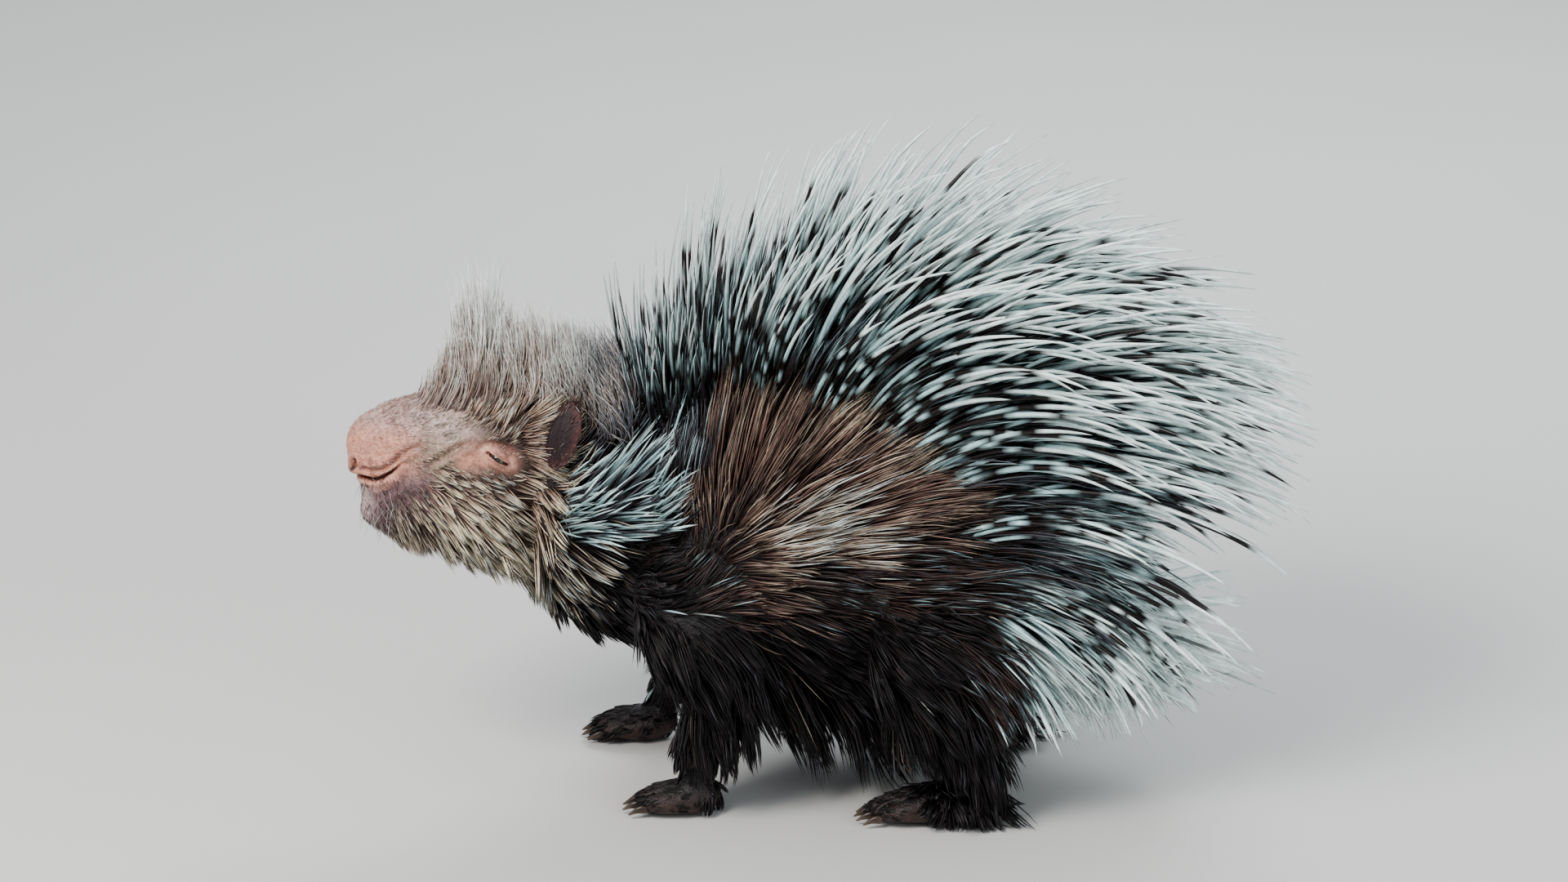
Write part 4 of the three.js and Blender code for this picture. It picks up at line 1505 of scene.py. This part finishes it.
def crest_piece(rng, count=3450, k=8):
    C = CREST
    a = rng.random(count) ** 0.95
    b = rng.uniform(-1, 1, count)
    # locks share a place, so the hair parts in points
    lock = rng.integers(0, 260, count)
    la, lb = rng.random(260) ** 0.95, rng.uniform(-1, 1, 260)
    ls, ll = rng.normal(0, 0.16, (260, 3)), rng.random(260)
    near_a = np.argmin(
        np.hypot(a[:, None] * 3.2 - la[None] * 3.2, b[:, None] - lb[None]), axis=1
    )
    lock = near_a
    a2, b2 = lerp(a, la[lock], 0.5), lerp(b, lb[lock], 0.5)
    y = through(C["half"], a) * b
    x = through(C["x"], a)
    z = through(C["z"], a) - 10 * b * b
    root = np.stack([x, y, z], -1)
    rise = np.radians(through(C["rise"], a2))
    splay = np.radians(through(C["lean"], a2)) * b2
    peak = np.exp(-(((a - 0.15) / 0.13) ** 2))
    long = lerp(through(C["long"], a2), through(C["longSide"], a2), b2 * b2)
    long = long * (0.68 + 0.42 * peak)
    d = np.stack(
        [np.cos(rise) * np.cos(splay), np.sin(splay), np.sin(rise) * np.cos(splay)], -1
    )
    share = 1 - smooth(-215, -120, x)
    tip = turned(root + d * 100, share)
    root = turned(root, share)
    d = unit(tip - root)
    for i in range(count):
        hit, nrm, _, dist = tree.find_nearest(Vector(root[i]))
        if hit is not None:
            root[i] = np.array(hit[:]) - np.array(nrm[:]) * 1.0
    lay = lerp(0.30, 0.55, smooth(0.1, 0.6, a))[:, None]
    d0 = unit(d + np.array([1, 0, -0.4]) * lay + rng.normal(0, 0.06, (count, 3)))
    d1 = unit(d + np.array([-1, 0, 0.3]) * lay * 0.8 + ls[lock] + rng.normal(0, 0.06, (count, 3)))
    long = long * (0.62 + 0.44 * rng.random(count) * (0.5 + 0.5 * ll[lock]))
    loose = smooth(0.45, 0.9, a)
    d1 = unit(d1 + rng.normal(0, 0.20, (count, 3)) * loose[:, None])
    long = long * (1 + 0.35 * loose * rng.random(count))
    path = curve(root, d0, d1, long, k)
    r = (0.34 + 0.3 * rng.random(count)) * np.clip(long / 50, 0.6, 1)
    radius = r[:, None] * profile(k, 0.9, 1.0, 0.15)[None]
    c = np.clip(0.5 * rng.random(count) + 0.5 * ll[lock], 0, 1)[:, None]
    back = smooth(0.5, 0.95, a)[:, None]
    warm = srgb(196, 178, 168)
    stops = [
        (0, MAUVE * 0.8 * (1 - back) + SABLE * back),
        (
            0.4,
            pick(c, (0.20, UMBER * 0.8), (0.36, TAN * 0.9), (1, warm * 1.05 * (1 - back) + STONE * 0.8 * back)),
        ),
        (
            1,
            pick(c, (0.12, STONE * 0.9), (0.30, warm), (0.52, SILVER), (1, WHITE * 1.1 * (1 - back) + STONE * 1.4 * back)),
        ),
    ]
    return strands("crest_hair", path, radius, shade(count, k, stops, rng), 3, rng)


rng = np.random.default_rng(SEED + 2)
crest = crest_piece(rng)


# ------------------------------------------------------------------ tail rattle
def rattle_piece(rng, count=150, k=12):
    a = rng.random(count)
    b = rng.uniform(-1, 1, count)
    root = np.stack([lerp(200, 232, a), 13 * b, lerp(148, 96, a)], -1)
    rise = np.radians(-10 + lerp(14, -14, a) * 1.6) + rng.normal(0, 0.07, count)
    splay = np.radians(24) * b + rng.normal(0, 0.07, count)
    long = 108 * (1 + 0.12 * a) * (1 - 0.16 * b * b) * (0.42 + 0.58 * rng.random(count) ** 4)
    d = np.stack(
        [np.cos(rise) * np.cos(splay), np.sin(splay), np.sin(rise) * np.cos(splay)], -1
    )
    path = curve(root, d, unit(d + rng.normal(0, 0.06, (count, 3))), long, k)
    path[..., 2] = np.maximum(path[..., 2], 8.0)
    open_quill = rng.random(count) < 0.35
    r = 1.5 + 0.6 * rng.random(count)
    t = np.linspace(0, 1, k)
    thin = np.interp(t, [0, 0.15, 0.6, 0.85, 1], [0.6, 0.9, 1.0, 0.6, 0.12])
    cup = np.interp(t, [0, 0.25, 0.45, 0.9, 1], [0.4, 0.45, 1.35, 1.45, 1.1])
    radius = r[:, None] * np.where(open_quill[:, None], cup[None], thin[None])
    colour = shade(count, k, [(0, ICE * 0.8), (0.4, WHITE), (1, WHITE)], rng, 0.08)
    return strands("rattle_quills", path, radius, colour, 6, rng)


rng = np.random.default_rng(SEED + 3)
rattle = rattle_piece(rng)



def tail_spines(rng, count=760, k=8):
    """White spines round the tail: hanging at the rump, straight back over the tail."""
    c = rng.random(count)
    y = rng.uniform(-1, 1, count)
    root = np.stack(
        [
            rng.uniform(152, 206, count),
            rng.uniform(50, 72, count) * y,
            rng.uniform(92, 166, count),
        ],
        -1,
    )
    for i in range(count):
        hit, nrm, _, _ = tree.find_nearest(Vector(root[i]))
        root[i] = np.array(hit[:])
    high = np.clip((root[:, 2] - 92) / 74, 0, 1)
    fall = np.radians(lerp(-94, 2, np.clip(0.45 * high + 0.62 * c - 0.03, 0, 1)) + rng.normal(0, 6, count))
    splay = np.radians(24 * y + rng.normal(0, 7, count))
    d = np.stack(
        [np.cos(fall) * np.cos(splay), np.sin(splay), np.sin(fall) * np.cos(splay)], -1
    )
    far = (rng.random(count) < 0.06) & (fall > np.radians(-32))
    room = (246 + 24 * rng.random(count) - root[:, 0]) / np.maximum(np.cos(fall), 0.45)
    reach = np.where(fall < np.radians(-60), root[:, 2] * 0.82, np.clip(room, 46, 112))
    long = reach * (0.55 + 0.45 * rng.random(count) ** 0.7)
    long = np.where(far, 140 + 20 * rng.random(count), long) * (1 - 0.12 * y * y)
    end = unit(d + np.array([0.10, 0, -0.10]) + rng.normal(0, 0.05, (count, 3)))
    path = curve(root, unit(d + np.array([0.15, 0, 0.1])), end, long, k)
    path[..., 2] = np.maximum(path[..., 2], 8.0)
    t = np.linspace(0, 1, k)
    radius = (1.05 + 0.8 * rng.random(count))[:, None] * np.interp(
        t, [0, 0.1, 0.5, 0.85, 1], [0.6, 0.9, 1.0, 0.6, 0.08]
    )
    m = rng.random(count)[:, None]
    colour = shade(
        count,
        k,
        [(0, SABLE), (0.14, ICE * 0.9), (0.5, pick(m, (0.14, SABLE), (1, WHITE))), (1, WHITE)],
        rng,
        0.08,
    )
    return strands("tail_spines", path, radius, colour, 4, rng)


spines = tail_spines(np.random.default_rng(SEED + 7))


# ------------------------------------------------------------------ whiskers
def whisker_piece(rng):
    roots, dirs, longs = [], [], []
    for sign in (-1, 1):
        for i in range(34):
            u = rng.uniform(440, 500)
            v = rng.uniform(578, 598) if i % 2 else rng.uniform(605, 622)
            q = on_skin(u, v)
            if q[0] > -285:
                continue
            q[1] *= -sign
            roots.append(turned(q))
            fwd = rng.uniform(-0.5, 0.6)
            e = np.array([fwd, sign * rng.uniform(0.25, 0.8), rng.uniform(-0.9, -0.1)])
            dirs.append(turned(PIVOT + e) - PIVOT)
            longs.append(rng.uniform(18, 46))
    root, d, long = np.array(roots), unit(np.array(dirs)), np.array(longs)
    n, k = len(root), 10
    d1 = unit(d + np.array([0.25, 0, -0.5]))
    path = curve(root - d * 1.0, d, d1, long, k)
    radius = np.full(n, 0.26)[:, None] * profile(k, 1.0, 0.8, 0.15)[None]
    chance = rng.random(n)[:, None]
    colour = shade(n, k, [(0, SABLE), (1, np.where(chance < 0.5, SILVER, SABLE))], rng)
    return strands("whiskers", path, radius, colour, 4, rng)


rng = np.random.default_rng(SEED + 4)
whiskers = whisker_piece(rng)


def ear_hair(rng, count=640, k=6):
    """Hair that springs in front of each ear and lies over its near edge."""
    sign = np.where(np.arange(count) % 2, 1.0, -1.0)
    h = rng.uniform(-1, 0.9, count)
    far = np.sqrt(1 - np.clip(h, -1, 1) ** 2)
    root = np.stack(
        [
            EAR["x"] - 6 - 15 * far - 7 * rng.random(count),
            sign * 43.0,
            EAR["z"] - 5 + 25 * h,
        ],
        -1,
    )
    root = turned(root)
    for i in range(count):
        hit, nrm, _, _ = tree.find_nearest(Vector(root[i]))
        root[i] = np.array(hit[:]) - np.array(nrm[:])
    d = np.stack(
        [np.ones(count), sign * (0.85 + 0.35 * rng.random(count)), 0.15 + 0.75 * h + rng.normal(0, 0.15, count)],
        -1,
    )
    e = np.stack(
        [np.ones(count), sign * 0.12, 0.25 + 0.8 * h + rng.normal(0, 0.15, count)], -1
    )
    d, e = unit(turned(PIVOT + d) - PIVOT), unit(turned(PIVOT + e) - PIVOT)
    long = 20 + 26 * rng.random(count) * (0.5 + 0.5 * far)
    path = curve(root, d, e, long, k)
    radius = (0.26 + 0.16 * rng.random(count))[:, None] * profile(k, 0.8, 1.0, 0.12)[None]
    c = rng.random(count)[:, None]
    colour = shade(count, k, hair_stops("brow", count, c), rng)
    return strands("ear_hair", path, radius, colour, 3, rng)


ear_tufts = ear_hair(np.random.default_rng(SEED + 8))


def ear_fur(rng, count=900, k=4):
    """Short dark fur on both faces and the rim of each ear."""
    roots, norms = [], []
    for e in ears:
        m = e.data
        p, n = places(m), normals(m)
        pick_at = rng.integers(0, len(p), count // 2)
        roots.append(p[pick_at])
        norms.append(n[pick_at])
    root, n = np.concatenate(roots), np.concatenate(norms)
    d, _ = frame_dirs(n, np.tile([0.55, 0, 0.83], (len(n), 1)), np.full(len(n), 18.0))
    d = unit(d + rng.normal(0, 0.16, d.shape))
    long = 3.5 + 4.5 * rng.random(len(n))
    path = curve(root - n * 0.3, d, unit(d + np.array([0.1, 0, 0.2])), long, k)
    radius = (0.16 + 0.1 * rng.random(len(n)))[:, None] * profile(k, 0.8, 1.0, 0.15)[None]
    c = rng.random(len(n))[:, None]
    stops = [(0, srgb(50, 32, 34)), (1, pick(c, (0.35, TAN * 0.8), (0.5, CREAM * 0.8), (1, UMBER * 0.8)))]
    return strands("ear_fur", path, radius, shade(len(n), k, stops, rng), 3, rng)


fuzz = ear_fur(np.random.default_rng(SEED + 9))


# ------------------------------------------------------------------ materials
def node_tree(name):
    mat = bpy.data.materials.new(name)
    mat.use_nodes = True
    nt = mat.node_tree
    nt.nodes.clear()
    out = nt.nodes.new("ShaderNodeOutputMaterial")
    sh = nt.nodes.new("ShaderNodeBsdfPrincipled")
    nt.links.new(sh.outputs["BSDF"], out.inputs["Surface"])
    return mat, nt, sh


def noise(nt, scale, detail=3.0, rough=0.5, stretch=None):
    co = nt.nodes.new("ShaderNodeTexCoord")
    mp = nt.nodes.new("ShaderNodeMapping")
    if stretch:
        mp.inputs["Scale"].default_value = stretch
    nt.links.new(co.outputs["Object"], mp.inputs["Vector"])
    n = nt.nodes.new("ShaderNodeTexNoise")
    n.inputs["Scale"].default_value = scale
    n.inputs["Detail"].default_value = detail
    n.inputs["Roughness"].default_value = rough
    nt.links.new(mp.outputs["Vector"], n.inputs["Vector"])
    return n


def mapped(nt, value, lo, hi, to_lo, to_hi):
    r = nt.nodes.new("ShaderNodeMapRange")
    r.inputs["From Min"].default_value = lo
    r.inputs["From Max"].default_value = hi
    r.inputs["To Min"].default_value = to_lo
    r.inputs["To Max"].default_value = to_hi
    nt.links.new(value, r.inputs["Value"])
    return r.outputs["Result"]


def tinted(nt, factor):
    """The painted colour times a factor that varies over the surface."""
    at = nt.nodes.new("ShaderNodeAttribute")
    at.attribute_name = "Col"
    sc = nt.nodes.new("ShaderNodeVectorMath")
    sc.operation = "SCALE"
    nt.links.new(at.outputs["Color"], sc.inputs[0])
    nt.links.new(factor, sc.inputs["Scale"])
    return sc.outputs["Vector"]


def bump(nt, sh, height, strength, distance):
    b = nt.nodes.new("ShaderNodeBump")
    b.inputs["Strength"].default_value = strength
    b.inputs["Distance"].default_value = distance
    nt.links.new(height, b.inputs["Height"])
    nt.links.new(b.outputs["Normal"], sh.inputs["Normal"])


def hair_material(name, lo, hi, spec, scale=260.0):
    mat, nt, sh = node_tree(name)
    n = noise(nt, scale, 2.0)
    nt.links.new(
        tinted(nt, mapped(nt, n.outputs["Fac"], 0.3, 0.7, 0.82, 1.14)), sh.inputs["Base Color"]
    )
    m = noise(nt, scale * 0.3, 2.0)
    nt.links.new(mapped(nt, m.outputs["Fac"], 0.3, 0.7, lo, hi), sh.inputs["Roughness"])
    sh.inputs["Specular IOR Level"].default_value = spec
    bump(nt, sh, noise(nt, scale * 4, 2.0).outputs["Fac"], 0.12, 0.0004)
    return mat


def skin_material(name, lo=0.36, hi=0.58, deep=0.8):
    mat, nt, sh = node_tree(name)
    blotch = noise(nt, 130, 4.0, 0.7)
    fine = noise(nt, 900, 3.0, 0.6)
    v = nt.nodes.new("ShaderNodeTexVoronoi")
    v.inputs["Scale"].default_value = 440
    co = nt.nodes.new("ShaderNodeTexCoord")
    nt.links.new(co.outputs["Object"], v.inputs["Vector"])
    a = mapped(nt, blotch.outputs["Fac"], 0.3, 0.7, 0.68, 1.22)
    b = mapped(nt, v.outputs["Distance"], 0.0, 0.7, 0.7, 1.12)
    mul = nt.nodes.new("ShaderNodeMath")
    mul.operation = "MULTIPLY"
    nt.links.new(a, mul.inputs[0])
    nt.links.new(b, mul.inputs[1])
    nt.links.new(tinted(nt, mul.outputs[0]), sh.inputs["Base Color"])
    nt.links.new(
        mapped(nt, fine.outputs["Fac"], 0.3, 0.7, lo, hi), sh.inputs["Roughness"]
    )
    sh.inputs["Specular IOR Level"].default_value = 0.45
    add = nt.nodes.new("ShaderNodeMath")
    add.operation = "ADD"
    nt.links.new(v.outputs["Distance"], add.inputs[0])
    nt.links.new(fine.outputs["Fac"], add.inputs[1])
    bump(nt, sh, add.outputs[0], deep, 0.0006)
    return mat


SKIN_MAT = skin_material("hide")
HAIR_MAT = hair_material("hair", 0.38, 0.55, 0.42)
DARK_MAT = hair_material("dark_hair", 0.34, 0.5, 0.4)
QUILL_MAT = hair_material("quill_horn", 0.24, 0.4, 0.5, 140.0)


def horn_material():
    mat, nt, sh = node_tree("claw_horn")
    n = noise(nt, 160, 3.0, 0.5, (0.25, 1, 1))
    nt.links.new(
        tinted(nt, mapped(nt, n.outputs["Fac"], 0.3, 0.7, 0.6, 1.25)), sh.inputs["Base Color"]
    )
    sh.inputs["Roughness"].default_value = 0.34
    bump(nt, sh, n.outputs["Fac"], 0.3, 0.0006)
    return mat


def eye_material():
    mat, nt, sh = node_tree("eye_wet")
    n = noise(nt, 900, 2.0)
    nt.links.new(
        tinted(nt, mapped(nt, n.outputs["Fac"], 0.3, 0.7, 0.7, 1.2)), sh.inputs["Base Color"]
    )
    sh.inputs["Roughness"].default_value = 0.06
    sh.inputs["Coat Weight"].default_value = 0.6
    sh.inputs["Coat Roughness"].default_value = 0.03
    return mat


skin_ob.data.materials.append(SKIN_MAT)
EAR_MAT = skin_material("ear_hide", 0.55, 0.75, 0.25)
for e in ears:
    e.data.materials.append(EAR_MAT)
claws.data.materials.append(horn_material())
eyes.data.materials.append(eye_material())
for ob, name in coat_pieces:
    ob.data.materials.append(
        QUILL_MAT if name == "coat_rump" else DARK_MAT if "low" in name else HAIR_MAT
    )
for ob in quill_pieces + [rattle, spines]:
    ob.data.materials.append(QUILL_MAT)
crest.data.materials.append(HAIR_MAT)
whiskers.data.materials.append(HAIR_MAT)
ear_tufts.data.materials.append(HAIR_MAT)
fuzz.data.materials.append(HAIR_MAT)

# ------------------------------------------------------------------ riding on the frame
FLESH = ["muzzle", "cranium", "lower_jaw", "chest", "middle", "rump", "neck", "tail"]
for side in ("left", "right"):
    FLESH += [
        f"{part}_{side}"
        for part in ("forefoot", "forearm", "upper_arm", "hindfoot", "shank", "thigh")
    ]
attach(skin_ob, "root")
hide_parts(*FLESH)
for e, side in zip(ears, ("left", "right")):
    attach(e, "root")
    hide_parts("ear_" + side)
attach(eyes, "root")
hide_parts("eye_left", "eye_right")
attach(claws, "root")
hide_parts(*claw_nodes)
for ob, name in coat_pieces:
    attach(ob, "root")
for ob in quill_pieces:
    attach(ob, "root")
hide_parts("quills_front_left", "quills_rear_left")
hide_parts("quills_front_right", "quills_rear_right")
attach(crest, "root")
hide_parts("crest")
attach(rattle, "root")
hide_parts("rattle")
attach(spines, "root")
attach(ear_tufts, "root")
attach(fuzz, "root")
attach(whiskers, "root")

# ------------------------------------------------------------------ floor and light
fm = bpy.data.meshes.new("floor")
fm.from_pydata(
    [(-9, -9, 0), (9, -9, 0), (9, 9, 0), (-9, 9, 0)], [], [(0, 1, 2, 3)]
)
floor = link(fm, "floor")
mat, nt, sh = node_tree("floor_pale")
n = noise(nt, 3.0, 2.0)
r = nt.nodes.new("ShaderNodeMapRange")
col = nt.nodes.new("ShaderNodeMix")
col.data_type = "RGBA"
nt.links.new(n.outputs["Fac"], col.inputs["Factor"])
col.inputs["A"].default_value = (0.60, 0.595, 0.58, 1)
col.inputs["B"].default_value = (0.64, 0.635, 0.62, 1)
nt.links.new(col.outputs["Result"], sh.inputs["Base Color"])
sh.inputs["Roughness"].default_value = 0.8
fm.materials.append(mat)

world = bpy.data.worlds.new("studio")
world.use_nodes = True
world.node_tree.nodes["Background"].inputs["Color"].default_value = (0.86, 0.9, 0.95, 1)
world.node_tree.nodes["Background"].inputs["Strength"].default_value = 0.55
bpy.context.scene.world = world


def area(name, place, aim, size, power, tint=(1, 1, 1)):
    d = bpy.data.lights.new(name, "AREA")
    d.shape = "RECTANGLE"
    d.size, d.size_y = size
    d.energy = power
    d.color = tint
    o = bpy.data.objects.new(name, d)
    o.location = place
    o.rotation_euler = (Vector(aim) - Vector(place)).to_track_quat("-Z", "Y").to_euler()
    bpy.context.scene.collection.objects.link(o)
    return o


area("key", (-1.3, -1.6, 2.2), (0, 0, 0.25), (1.2, 1.2), 74, (1.0, 0.97, 0.93))
area("fill", (2.0, -1.8, 1.2), (0, 0, 0.25), (1.6, 1.6), 26, (0.9, 0.95, 1.0))
area("rim", (0.6, 1.9, 1.9), (0, 0, 0.3), (1.6, 1.0), 34, (0.95, 0.98, 1.0))

bpy.context.scene.view_settings.view_transform = "AgX"
bpy.context.scene.view_settings.look = "AgX - Medium High Contrast"
